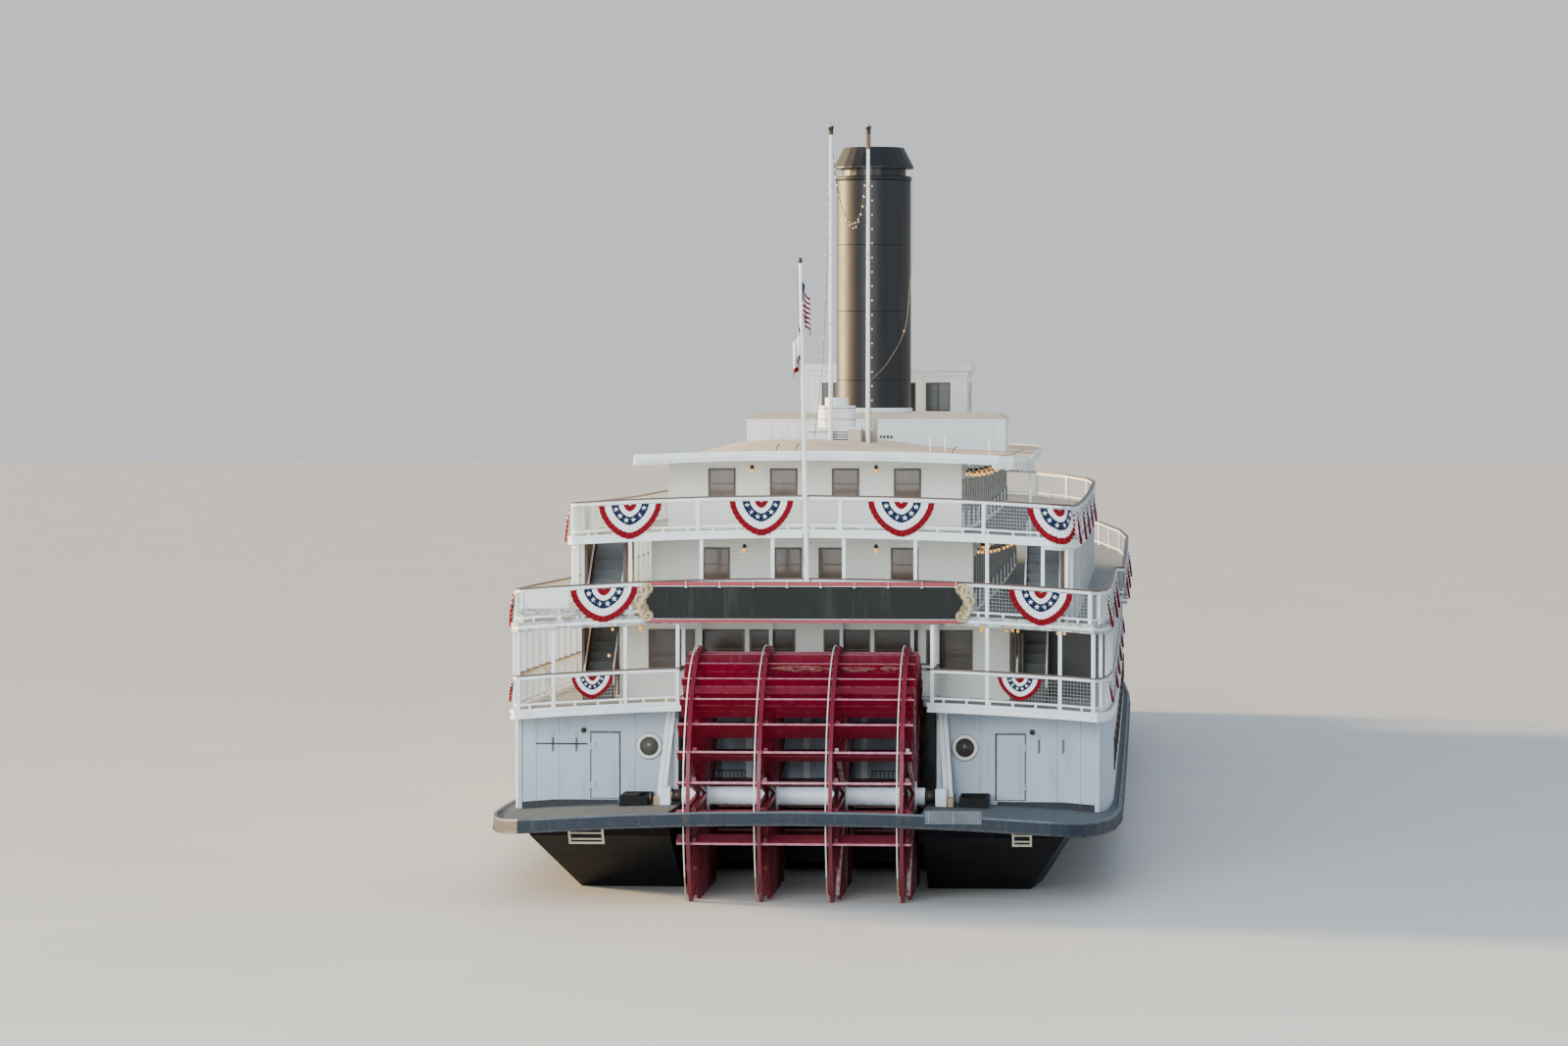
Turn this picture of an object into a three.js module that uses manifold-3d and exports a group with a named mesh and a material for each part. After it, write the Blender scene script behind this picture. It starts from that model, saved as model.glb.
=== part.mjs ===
// Stern-wheel paddle steamer, a river boat of the 1920s, as a scale model at 1:10.
// Millimetres. +Z is up from the flat hull bottom, +Y runs to the bow, +X is starboard.
// Heights are taken on the centreline at the stern. Sheer and camber are added to all of them.

import * as THREE from "three";
import Module from "manifold-3d";
import { mergeVertices } from "three/addons/utils/BufferGeometryUtils.js";

const wasm = await Module();
wasm.setup();
const { Manifold, Mesh: SolidMesh } = wasm;

// Driving dimensions

const SEAT = 0.3; // gap between two pieces that rest on each other
const STERN_Y = -4350; // aft edge of the fantail beam
const BOW_Y = 4350;

const SHEET_WIDTH = 1920; // the grid that carries sheer and camber
const SHEET_LENGTH = 9200;
const SHEET_STRIPS = 8;
const SHEET_BAYS = 8;
const CAMBER_DROP = 38; // at the guard's edge
const GUARD_HALF = 884;
const SHEER_LOW_Y = -200;
const SHEER_LOW = -45;
const SHEER_BOW = 60;

const DECK = {
  guard: { top: 446, thick: 34 },
  saloon: { top: 730, thick: 25 },
  observation: { top: 975, thick: 25 },
  texas: { top: 1207, thick: 22 },
  roof: { top: 1428, thick: 22 },
};

const HULL = {
  top: 430, aftY: -4270, foreY: 4300, bottomHalf: 560, topHalf: 812, bilge: 50,
  bowY: 1700, footForeY: 3900, rakeY: 2700, rakeRise: 190, stem: 12, bowRise: 60,
  counterY: -3000, footAftY: -3360, counterLevel: 0.84,
};
const WELL = { half: 345, aftY: STERN_Y + 35, foreY: -3400 };
const TUNNEL = { mouthHeight: 230, endY: -2200 };
const PIT = { inner: 440, outer: 510, aftY: -3890, foreY: -3725 };

const WHEEL = {
  y: -3865, z: 454, rimOuter: 422, rimInner: 396, thick: 12, hubRadius: 46, arms: 30,
  armWidth: 13, firstArm: 9.6, frameX: [-290, -97, 97, 290], shaftRadius: 25, shaftHalf: 340,
  journalRadius: 18, journalHalf: 404, bucketHalf: 322.5, bucketInner: 331, bucketOuter: 403,
  bucketThick: 6, firstBucket: -2, lastBucket: 16,
};
const BEARING = { inner: 370, outer: 400, length: 76, height: 24, play: 0.5 };

const WALL = 12;
const MAIN_HOUSE = { half: 858, cornerHalf: 822, aftY: -3710, wellHalf: 365, foreY: 3200, foreHalf: 580 };
const RAIL = { height: 92, cap: 8, width: 8, inset: 8, post: 10 };
const POST_PITCH = { short: 203, long: 160, longFrom: 1650, cornerGap: 55 };
const POST_GRID = { // posts across the stern: spacing, and how far the pattern lies to starboard
  notch: { pitch: 203, shift: -20 }, saloon: { pitch: 203, shift: 3 },
  observation: { pitch: 200, shift: 10 }, texas: { pitch: 200, shift: 0 },
};
const EDGE_AFT_Y = -3830; // aft edge of the three upper decks
const NOTCH = { half: 345, foreY: -3480 };

const DOOR = { inner: 534, outer: 613, bottom: 433, top: 617, thick: 12, play: 3, barrel: 3 };
const STACK = {
  y: -350, radius: 129, foot: 1486.3, top: 2330, neck: 112, neckRise: 26, capFoot: 140, capTop: 105,
  capRise: 99, ring: 6, ringRise: 22,
};
const ROOF_BOX = { x0: -430, x1: 465, aftY: -520, foreY: -150, top: 1486 };
const PILOT = {
  half: 297, aftY: 450, foreY: 890, top: 1655, roofRise: 25, eaves: 14, sill: 125, head: 230,
};
const MAST = { x: 60, y: -1750, radius: 7, top: 2440, ball: 9 };
const FAN = {
  x0: -141, x1: 35, aftY: -1700, foreY: -1560, top: 1467, drumX: -48, drumRadius: 61, drumTop: 1536,
  lidRadius: 38, lidTop: 1562,
};
const SIGN = { half: 443, bottom: 936, top: 1051, thick: 10 };
const FLAGPOLE = { footX: 7, topX: -11, top: 1940, radius: 7.5, tipRadius: 4.5 };
const RUDDER = { y: -3150, pitch: 200, stock: 9, fore: 60, aft: 140, bottom: 25, top: 145, thick: 10 };

// Solids from three.js geometry

/** A closed three.js geometry as a solid. */
function solid(geometry) {
  const bare = geometry.index ? geometry.toNonIndexed() : geometry.clone();
  bare.deleteAttribute("normal");
  bare.deleteAttribute("uv");
  const merged = mergeVertices(bare, 1e-4);
  return new Manifold(new SolidMesh({
    numProp: 3,
    vertProperties: new Float32Array(merged.attributes.position.array),
    triVerts: new Uint32Array(merged.index.array),
  }));
}

/** A solid as a three.js geometry with flat faces. */
function geometryOf(body) {
  const mesh = body.getMesh();
  const indexed = new THREE.BufferGeometry();
  indexed.setAttribute("position", new THREE.BufferAttribute(mesh.vertProperties, 3));
  indexed.setIndex(new THREE.BufferAttribute(mesh.triVerts, 1));
  const faceted = indexed.toNonIndexed();
  faceted.computeVertexNormals();
  return faceted;
}

/** Joins a list of solids. */
function join(bodies) {
  return bodies.reduce((sum, body) => sum.add(body));
}

/** A box between two corners. */
function block(x0, x1, y0, y1, z0, z1) {
  const geometry = new THREE.BoxGeometry(x1 - x0, y1 - y0, z1 - z0);
  geometry.translate((x0 + x1) / 2, (y0 + y1) / 2, (z0 + z1) / 2);
  return solid(geometry);
}

/** An upright cylinder or cone. */
function column(x, y, z0, z1, radius, topRadius = radius, sides = 16) {
  const geometry = new THREE.CylinderGeometry(topRadius, radius, z1 - z0, sides);
  geometry.rotateX(Math.PI / 2);
  geometry.translate(x, y, (z0 + z1) / 2);
  return solid(geometry);
}

/** A cylinder along X. */
function axle(x0, x1, y, z, radius, sides = 24) {
  const geometry = new THREE.CylinderGeometry(radius, radius, x1 - x0, sides);
  geometry.rotateZ(-Math.PI / 2);
  geometry.translate((x0 + x1) / 2, y, z);
  return solid(geometry);
}

/** A plan outline extruded through all decks. */
function prism(points, z0 = -100, z1 = 2600) {
  const geometry = new THREE.ExtrudeGeometry(new THREE.Shape(points), {
    depth: z1 - z0, bevelEnabled: false,
  });
  geometry.translate(0, 0, z0);
  return solid(geometry);
}

/** A profile given in Y and Z, extruded along X. */
function sideProfile(rows, x0, x1) {
  const points = rows.map(([y, z]) => new THREE.Vector2(y, z));
  const geometry = new THREE.ExtrudeGeometry(new THREE.Shape(points), {
    depth: x1 - x0, bevelEnabled: false,
  });
  geometry.rotateY(Math.PI / 2);
  geometry.rotateX(Math.PI / 2);
  geometry.translate(x0, 0, 0);
  return solid(geometry);
}

// Sheer, camber and plan outlines

/** Height that the sheer adds at y. */
function sheer(y) {
  const aft = y < SHEER_LOW_Y;
  const end = aft ? STERN_Y : BOW_Y;
  const rise = (aft ? 0 : SHEER_BOW) - SHEER_LOW;
  return SHEER_LOW + rise * ((y - SHEER_LOW_Y) / (end - SHEER_LOW_Y)) ** 2;
}

/** Height that the camber adds at x, which is never positive. */
function camber(x) {
  return -CAMBER_DROP * (x / GUARD_HALF) ** 2;
}

/** The value of a curve that is straight between the lines of an even grid. */
function onGrid(curve, at, size, cells) {
  const step = size / cells;
  const cell = Math.floor((at + size / 2) / step);
  const from = -size / 2 + cell * step;
  const share = (at - from) / step;
  return curve(from) * (1 - share) + curve(from + step) * share;
}

/** Sheer and camber together, as the decks have them. */
function lift(x, y) {
  return onGrid(sheer, y, SHEET_LENGTH, SHEET_BAYS) + onGrid(camber, x, SHEET_WIDTH, SHEET_STRIPS);
}

/** All the space between two heights that follow the decks. */
function layer(z0, z1) {
  const geometry = new THREE.BoxGeometry(
    SHEET_WIDTH, SHEET_LENGTH, z1 - z0, SHEET_STRIPS, SHEET_BAYS, 1,
  );
  const position = geometry.attributes.position;
  for (let i = 0; i < position.count; i += 1) {
    const x = position.getX(i);
    const y = position.getY(i);
    position.setZ(i, position.getZ(i) + (z0 + z1) / 2 + sheer(y) + camber(x));
  }
  return solid(geometry);
}

/** What of a solid stands above a deck. */
function above(body, { top }) {
  return body.intersect(layer(top + SEAT, 4000));
}

/** A plan outline from rows of y and half breadth, aft to fore, the same on both sides if one is given. */
function outline(starboardRows, portRows = starboardRows) {
  const starboard = starboardRows.map(([y, half]) => new THREE.Vector2(half, y));
  const port = portRows.map(([y, half]) => new THREE.Vector2(-half, y));
  return [...starboard, ...port.reverse()];
}

/** The same outline moved in by a distance, with mitred corners. */
function inset(points, distance) {
  const normals = points.map((point, i) => {
    const next = points[(i + 1) % points.length];
    const along = next.clone().sub(point).normalize();
    return new THREE.Vector2(-along.y, along.x);
  });
  return points.map((point, i) => {
    const before = normals[(i + points.length - 1) % points.length];
    const after = normals[i];
    const middle = before.clone().add(after);
    return point.clone().addScaledVector(middle, (2 * distance) / middle.lengthSq());
  });
}

/** The band between an outline and the same outline moved in. */
function ring(points, from, width) {
  const outer = from ? inset(points, from) : points;
  return prism(outer).subtract(prism(inset(points, from + width)));
}

/** A quarter of an ellipse as rows of y and half breadth. */
function quarter(y0, y1, half0, half1, steps) {
  return Array.from({ length: steps + 1 }, (_, i) => {
    const angle = (i / steps) * (Math.PI / 2);
    return [y0 + (y1 - y0) * (1 - Math.cos(angle)), half0 + (half1 - half0) * Math.sin(angle)];
  });
}

/** The rounded front of a deck: half breadth falls along a quarter ellipse to a flat nose. */
function front(y0, y1, half0, half1, steps) {
  return quarter(y1, y0, half1, half0, steps).reverse();
}

const guardLine = outline([
  [STERN_Y, 700],
  [-4335, 745],
  [-4285, 788],
  [-4190, 820],
  [-4060, 846],
  [-3880, 868],
  [-3500, GUARD_HALF],
  ...front(1900, BOW_Y, GUARD_HALF, 60, 7),
]);
const saloonLine = outline([
  [NOTCH.foreY, NOTCH.half],
  [EDGE_AFT_Y, NOTCH.half],
  [EDGE_AFT_Y, 816],
  [-3740, 838],
  [-3550, 853],
  [-3200, 862],
  ...front(1900, 3650, 862, 270, 5),
]);
const observationLine = outline([
  [EDGE_AFT_Y, 806],
  [-3760, 832],
  [-3560, 848],
  [-3200, 856],
  [-950, 856],
  [-930, GUARD_HALF],
  ...front(1900, 3450, GUARD_HALF, 270, 5),
]);
const texasLine = outline([
  [EDGE_AFT_Y, 690],
  [-3815, 722],
  [-3775, 745],
  [-3690, 757],
  [-3300, 762],
  ...front(1200, 1900, 762, 380, 4),
], [
  [EDGE_AFT_Y, 652],
  [-3780, 668],
  [-3550, 695],
  [-3100, 735],
  [-2700, 750],
  ...front(1200, 1900, 762, 380, 4),
]);
const roofLine = outline([
  [-3630, 532],
  [-3600, 575],
  [-3530, 605],
  [-3400, 627],
  [-2600, 600],
  [-1500, 575],
  ...front(900, 1250, 560, 300, 3),
], [
  [-3630, 493],
  [-3300, 530],
  [-2600, 556],
  ...front(900, 1250, 560, 300, 3),
]);
const mainHouseLine = outline([
  [WELL.foreY, MAIN_HOUSE.wellHalf],
  [MAIN_HOUSE.aftY, MAIN_HOUSE.wellHalf],
  [MAIN_HOUSE.aftY, MAIN_HOUSE.cornerHalf],
  [-3600, 842],
  [-3400, 852],
  [-3100, MAIN_HOUSE.half],
  [1900, MAIN_HOUSE.half],
  [2600, 780],
  [MAIN_HOUSE.foreY, MAIN_HOUSE.foreHalf],
]);
const saloonHouseLine = outline([[-3430, 562], [2100, 562], [2850, 420]]);
const observationHouseLine = outline([[-3530, 460], [1000, 460], [1300, 360]]);
const texasHouseLine = outline([[-3410, 423], [1050, 423]]);

// Hull

/** Half breadth of the hull at y, for a height share of 0 at the bottom to 1 under the guard. */
function hullHalf(y, level) {
  const flare = HULL.bottomHalf + (HULL.topHalf - HULL.bottomHalf) * Math.min(1, level * 1.15);
  const noseY = HULL.footForeY + (HULL.foreY - HULL.footForeY) * Math.min(1, level * 1.6);
  const bow = Math.max(0, (y - HULL.bowY) / (noseY - HULL.bowY));
  const fullness = Math.sqrt(Math.max(0, 1 - bow ** 2));
  const quarterRun = Math.max(0, (-3300 - y) / (-3300 - HULL.aftY));
  const bilge = level === 0 ? HULL.bilge : 0;
  return Math.max(HULL.stem, flare * fullness * (1 - 0.06 * quarterRun ** 2) - bilge);
}

/** Height of the hull's bottom, which rakes up at the bow. */
function hullFloor(y) {
  return HULL.rakeRise * Math.max(0, (y - HULL.rakeY) / (HULL.foreY - HULL.rakeY)) ** 2;
}

/** Where y lies once the stern is raked forward under the fantail, for a height share. */
function counter(y, level) {
  const share = Math.min(1, level / HULL.counterLevel);
  const endY = HULL.footAftY + (HULL.aftY - HULL.footAftY) * share;
  const stretch = (HULL.counterY - endY) / (HULL.counterY - HULL.aftY);
  return y < HULL.counterY ? HULL.counterY + (y - HULL.counterY) * stretch : y;
}

function makeHull() {
  const geometry = new THREE.BoxGeometry(2, HULL.foreY - HULL.aftY, HULL.top, 2, 20, 4);
  geometry.translate(0, (HULL.foreY + HULL.aftY) / 2, HULL.top / 2);
  const position = geometry.attributes.position;
  for (let i = 0; i < position.count; i += 1) {
    const y = position.getY(i);
    const level = position.getZ(i) / HULL.top;
    const floor = hullFloor(y);
    position.setX(i, position.getX(i) * hullHalf(y, level));
    position.setY(i, counter(y, level));
    position.setZ(i, floor + level * (HULL.top + HULL.bowRise - floor));
  }
  const tunnel = sideProfile([
    [HULL.aftY - 20, -10],
    [TUNNEL.endY, -10],
    [TUNNEL.endY, 0],
    [WELL.foreY, TUNNEL.mouthHeight],
    [WELL.foreY, HULL.top + 20],
    [HULL.aftY - 20, HULL.top + 20],
  ], -WELL.half, WELL.half);
  const stockHoles = [-1, 0, 1].map((side) => column(
    side * RUDDER.pitch, RUDDER.y, RUDDER.top, RUDDER.top + 90, RUDDER.stock + 0.7,
  ));
  return solid(geometry)
    .intersect(layer(-400, DECK.guard.top - DECK.guard.thick - SEAT))
    .subtract(tunnel)
    .subtract(join(stockHoles));
}

// Decks and houses

function deck(points, { top, thick }, openings = []) {
  const slab = prism(points).intersect(layer(top - thick, top));
  return openings.reduce((body, opening) => body.subtract(opening), slab);
}

function house(points, lower, upper, openings = []) {
  const shell = ring(points, 0, WALL).intersect(
    layer(lower.top + SEAT, upper.top - upper.thick - SEAT),
  );
  return openings.reduce((body, opening) => body.subtract(opening), shell);
}

function makeMainDeck() {
  const well = block(-WELL.half, WELL.half, WELL.aftY, WELL.foreY, 300, 600);
  const pits = [-1, 1].map((side) => {
    const [x0, x1] = side < 0 ? [-PIT.outer, -PIT.inner] : [PIT.inner, PIT.outer];
    return block(x0, x1, PIT.aftY, PIT.foreY, 300, 600);
  });
  return deck(guardLine, DECK.guard, [well, ...pits]);
}

/** Hatch over a stair: x from inner to outer on one side, y over the stair's upper part. */
function hatch({ side, inner, outer, topY, run }, z) {
  const [x0, x1] = side < 0 ? [-outer - 6, -inner + 6] : [inner - 6, outer + 6];
  return block(x0, x1, topY - run * 0.8, topY + 8, z - 80, z + 80);
}

// Stairs: side, x range, y of the top step, length of the run, and the decks they join
const STAIRS = [
  { name: "lower_stair_port", side: -1, inner: 575, outer: 650, topY: -3240, run: 290,
    from: DECK.saloon, to: DECK.observation },
  { name: "lower_stair_starboard", side: 1, inner: 590, outer: 665, topY: -3240, run: 290,
    from: DECK.saloon, to: DECK.observation },
  { name: "upper_stair_port", side: -1, inner: 530, outer: 618, topY: -3440, run: 280,
    from: DECK.observation, to: DECK.texas },
  { name: "upper_stair_starboard", side: 1, inner: 618, outer: 706, topY: -3440, run: 280,
    from: DECK.observation, to: DECK.texas },
];
const STEPS = 9;

function makeStair({ side, inner, outer, topY, run, from, to }) {
  const footY = topY - run;
  const x = side * (inner + outer) / 2;
  const low = Math.max(lift(x, footY), lift(side * inner, footY), lift(x, topY)) + from.top + SEAT;
  const high = lift(x, topY) + to.top;
  const rise = (high - low) / STEPS;
  const tread = run / STEPS;
  const rows = [[footY + 16, low], [topY, high - 40], [topY, high]];
  for (let step = STEPS; step > 0; step -= 1) {
    rows.push([topY - (STEPS - step + 1) * tread + 0.01, low + step * rise]);
    rows.push([topY - (STEPS - step + 1) * tread, low + (step - 1) * rise]);
  }
  const [x0, x1] = side < 0 ? [-outer, -inner] : [inner, outer];
  return sideProfile(rows, x0, x1);
}

const upperHatches = STAIRS.filter(({ to }) => to === DECK.texas)
  .map((stair) => hatch(stair, DECK.texas.top));
const lowerHatches = STAIRS.filter(({ to }) => to === DECK.observation)
  .map((stair) => hatch(stair, DECK.observation.top));

function doorway(side) {
  const [x0, x1] = side < 0 ? [-DOOR.outer, -DOOR.inner] : [DOOR.inner, DOOR.outer];
  return block(
    x0 - DOOR.play, x1 + DOOR.play, MAIN_HOUSE.aftY - 20, MAIN_HOUSE.aftY + WALL + 20,
    DOOR.bottom - 2, DOOR.top + DOOR.play,
  );
}

function makeBlockDoor(side) {
  const [x0, x1] = side < 0 ? [-DOOR.outer, -DOOR.inner] : [DOOR.inner, DOOR.outer];
  const pinX = side * (DOOR.outer + DOOR.play / 2);
  const pinY = MAIN_HOUSE.aftY - DOOR.barrel - SEAT;
  const leafX = side < 0 ? [pinX, x0 + 12] : [x1 - 12, pinX];
  const barrels = [0.2, 0.8].map((share) => {
    const z = DOOR.bottom + (DOOR.top - DOOR.bottom) * share;
    return column(pinX, pinY, z - 10, z + 10, DOOR.barrel, DOOR.barrel, 12).add(
      block(leafX[0], leafX[1], pinY - 1.5, MAIN_HOUSE.aftY + 1, z - 10, z + 10).subtract(
        block(pinX - 2, pinX + 2, pinY + 1, MAIN_HOUSE.aftY + 2, z - 12, z + 12),
      ),
    );
  });
  const leaf = block(x0, x1, MAIN_HOUSE.aftY, MAIN_HOUSE.aftY + DOOR.thick, DOOR.bottom, DOOR.top);
  return join([leaf, ...barrels]);
}

// Rails and posts

/** Places across one athwartship edge, at odd halves of the pitch from the pattern's middle. */
function across(point, next, { pitch, shift }) {
  const x0 = Math.min(point.x, next.x) + 5 - shift;
  const x1 = Math.max(point.x, next.x) - 5 - shift;
  const first = Math.ceil(x0 / pitch - 0.5);
  const last = Math.floor(x1 / pitch - 0.5);
  return Array.from({ length: Math.max(0, last - first + 1) }, (_, k) => ({
    at: new THREE.Vector2((first + k + 0.5) * pitch + shift, point.y), angle: 0,
  }));
}

/** Places along the outline's inset line, each with the direction of its edge. A short edge has
 * none but its ends, and a corner has none where one on an athwartship edge stands close to it. */
function places(points, distance, grid) {
  const line = inset(points, distance);
  const edges = line.map((point, i) => [point, line[(i + 1) % line.length]]);
  const level = ([point, next]) => Math.abs(point.y - next.y) < 1 && point.y < 0;
  const athwart = edges.filter(level).flatMap(([point, next]) => (
    across(point, next, point.y > NOTCH.foreY - 30 ? POST_GRID.notch : grid)
  ));
  const others = edges.flatMap(([point, next]) => {
    const length = point.distanceTo(next);
    const pitch = length < POST_PITCH.longFrom ? POST_PITCH.short : POST_PITCH.long;
    const count = level([point, next]) ? 1 : Math.max(1, Math.round(length / pitch));
    const angle = Math.atan2(next.y - point.y, next.x - point.x);
    return Array.from({ length: count }, (_, k) => ({
      at: point.clone().lerp(next, k / count), angle,
    }));
  });
  const kept = [...athwart];
  for (const place of others) {
    if (kept.every(({ at }) => at.distanceTo(place.at) > POST_PITCH.cornerGap)) {
      kept.push(place);
    }
  }
  return kept;
}

/** One square post between two levels. */
function post({ at, angle }, z0, z1, size = RAIL.post) {
  const geometry = new THREE.BoxGeometry(size, size, z1 - z0 + 120);
  geometry.rotateZ(angle);
  geometry.translate(at.x, at.y, (z0 + z1) / 2);
  return solid(geometry);
}

/** A rail with its posts around a deck. Those that isTall picks reach the deck above. */
function gallery(points, lower, upper, grid, isTall) {
  const bands = ring(points, RAIL.inset, RAIL.width);
  const railTop = lower.top + RAIL.height;
  const cap = bands.intersect(layer(railTop - RAIL.cap, railTop));
  const spots = places(points, RAIL.inset + RAIL.width / 2, grid);
  const stand = (chosen, high) => join(chosen.map((place) => post(place, lower.top, high)))
    .intersect(layer(lower.top + SEAT, high));
  const tall = spots.filter(isTall);
  const low = spots.filter((place) => !isTall(place));
  const bodies = [cap];
  if (tall.length > 0) {
    bodies.push(stand(tall, upper.top - upper.thick - SEAT));
  }
  if (low.length > 0) {
    bodies.push(stand(low, railTop));
  }
  return join(bodies);
}

// Parts of a gallery: name suffix, then the plan areas that it takes as x0, x1, y0, y1
const FAR = 5000;
const CORNER_Y = EDGE_AFT_Y + 40;
const RETURN_X = NOTCH.half + 40; // outboard of the rail that runs beside the wheel
const FRONT_X = NOTCH.half - 30;
const split = (name, ...areas) => ({ name, areas });
const SALOON_PARTS = [
  split("aft_port", [-FAR, -FRONT_X, -FAR, CORNER_Y], [-RETURN_X, -FRONT_X, -FAR, -3300]),
  split("aft_middle", [-FRONT_X, FRONT_X, -FAR, -3300]),
  split("aft_starboard", [FRONT_X, FAR, -FAR, CORNER_Y], [FRONT_X, RETURN_X, -FAR, -3300]),
  split("port", [-FAR, -RETURN_X, CORNER_Y, 1900]),
  split("starboard", [RETURN_X, FAR, CORNER_Y, 1900]),
  split("fore", [-FAR, FAR, 1900, FAR]),
];

const colours = {
  hull: [0x0d0e10, 0.45, 0], guard: [0x46505a, 0.7, 0], mainWall: [0xc6ccd2, 0.6, 0],
  wall: [0xe9e4d3, 0.6, 0], deck: [0x8d8f8c, 0.8, 0], rail: [0xeeeeea, 0.5, 0],
  roof: [0xd9d0bd, 0.75, 0], black: [0x141414, 0.35, 0.1], wheel: [0x7c1420, 0.55, 0],
  brown: [0x3a241b, 0.6, 0], sign: [0x1d2723, 0.6, 0], iron: [0x3b3a38, 0.6, 0.6],
};

const ship = new THREE.Group();

function add(name, colour, body) {
  const [color, roughness, metalness] = colours[colour];
  const material = new THREE.MeshStandardMaterial({ color, roughness, metalness });
  const mesh = new THREE.Mesh(geometryOf(body), material);
  mesh.name = name;
  ship.add(mesh);
}

/** Adds a gallery as separate pieces with a seat's gap where they meet. */
function addGallery(name, body, parts) {
  for (const part of parts) {
    const half = SEAT / 2;
    const space = join(part.areas.map(([x0, x1, y0, y1]) => block(
      x0 + half, x1 - half, y0 + half, y1 - half, -100, 2600,
    )));
    add(`${name}_${part.name}`, "rail", body.intersect(space));
  }
}

const SIDE_PARTS = (foreY) => [
  split("aft", [-FAR, FAR, -FAR, CORNER_Y]),
  split("port", [-FAR, 0, CORNER_Y, foreY]),
  split("starboard", [0, FAR, CORNER_Y, foreY]),
  split("fore", [-FAR, FAR, foreY, FAR]),
];

/** Posts inboard of the observation rail that carry the texas deck, under one long beam. */
function makePostRow(side) {
  const lower = DECK.observation;
  const underside = DECK.texas.top - DECK.texas.thick - SEAT;
  const [x0, x1] = side < 0 ? [-FAR, 0] : [0, FAR];
  const reach = block(x0, x1, EDGE_AFT_Y, 1190, 0, 2600);
  const beam = ring(texasLine, 10.5, 7)
    .intersect(layer(underside - 10, underside))
    .intersect(reach)
    .subtract(block(-635, 660, -FAR, FAR, 0, 2600));
  const spots = places(texasLine, 14, POST_GRID.texas)
    .filter(({ at }) => at.x * side > 600 && at.y > EDGE_AFT_Y + 40 && at.y < 1180);
  const cornerX = side < 0 ? -640 : 665;
  const corner = { at: new THREE.Vector2(cornerX, EDGE_AFT_Y + 21.6), angle: 0 };
  const posts = [corner, ...spots].map((place) => post(place, lower.top, underside));
  return beam.add(join(posts).intersect(layer(lower.top + SEAT, underside)));
}

// Paddle wheel

/** One wheel frame: rim, hub and arms cut from a disc. */
function makeFrame(x) {
  const shape = new THREE.Shape();
  const step = (2 * Math.PI) / WHEEL.arms;
  const first = THREE.MathUtils.degToRad(WHEEL.firstArm);
  const at = (radius, angle) => new THREE.Vector2(radius * Math.cos(angle), radius * Math.sin(angle));
  shape.setFromPoints(
    Array.from({ length: WHEEL.arms }, (_, i) => at(WHEEL.rimOuter, first + i * step)),
  );
  for (let i = 0; i < WHEEL.arms; i += 1) {
    const a = first + i * step;
    const b = a + step;
    const outer = Math.asin(WHEEL.armWidth / 2 / WHEEL.rimInner);
    const inner = Math.min(step * 0.42, Math.asin(WHEEL.armWidth / 2 / WHEEL.hubRadius / 2));
    shape.holes.push(new THREE.Path([
      at(WHEEL.hubRadius * 2, a + inner), at(WHEEL.rimInner, a + outer),
      at(WHEEL.rimInner, b - outer), at(WHEEL.hubRadius * 2, b - inner),
    ]));
  }
  const geometry = new THREE.ExtrudeGeometry(shape, { depth: WHEEL.thick, bevelEnabled: false });
  geometry.rotateY(-Math.PI / 2);
  geometry.rotateX(-Math.PI / 2);
  geometry.translate(x + WHEEL.thick / 2, WHEEL.y, WHEEL.z);
  return solid(geometry);
}

/** One bucket board, at an angle up from the aft horizontal. */
function makeBucket(angle) {
  const depth = WHEEL.bucketOuter - WHEEL.bucketInner;
  const geometry = new THREE.BoxGeometry(2 * WHEEL.bucketHalf, depth, WHEEL.bucketThick);
  geometry.translate(0, -(WHEEL.bucketOuter + WHEEL.bucketInner) / 2, 0);
  geometry.rotateX(-angle);
  geometry.translate(0, WHEEL.y, WHEEL.z);
  return solid(geometry);
}

function makeWheel() {
  const frames = WHEEL.frameX.map(makeFrame);
  const hubs = WHEEL.frameX.map((x) => (
    axle(x - 20, x + 20, WHEEL.y, WHEEL.z, WHEEL.hubRadius, 16)
  ));
  const shaft = axle(-WHEEL.shaftHalf, WHEEL.shaftHalf, WHEEL.y, WHEEL.z, WHEEL.shaftRadius);
  const journal = axle(
    -WHEEL.journalHalf, WHEEL.journalHalf, WHEEL.y, WHEEL.z, WHEEL.journalRadius,
  );
  const buckets = [];
  for (let i = WHEEL.firstBucket; i <= WHEEL.lastBucket; i += 1) {
    buckets.push(makeBucket(THREE.MathUtils.degToRad(WHEEL.firstArm + (i * 360) / WHEEL.arms)));
  }
  return join([...frames, ...hubs, shaft, journal, ...buckets]);
}

function makeBearing(side) {
  const [x0, x1] = side < 0 ? [-BEARING.outer, -BEARING.inner] : [BEARING.inner, BEARING.outer];
  const bore = (WHEEL.journalRadius + BEARING.play) / Math.cos(Math.PI / 24);
  return block(
    x0, x1, WHEEL.y - BEARING.length / 2, WHEEL.y + BEARING.length / 2, 380,
    WHEEL.z + BEARING.height,
  )
    .intersect(layer(DECK.guard.top + SEAT, 900))
    .subtract(axle(x0 - 5, x1 + 5, WHEEL.y, WHEEL.z, bore));
}

// Rudders

function makeRudder(side) {
  const x = side * RUDDER.pitch;
  const blade = block(
    x - RUDDER.thick / 2, x + RUDDER.thick / 2, RUDDER.y - RUDDER.aft, RUDDER.y + RUDDER.fore,
    RUDDER.bottom, RUDDER.top,
  );
  return blade.add(column(x, RUDDER.y, RUDDER.bottom, RUDDER.top + 88, RUDDER.stock));
}

// Pilothouse

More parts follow.
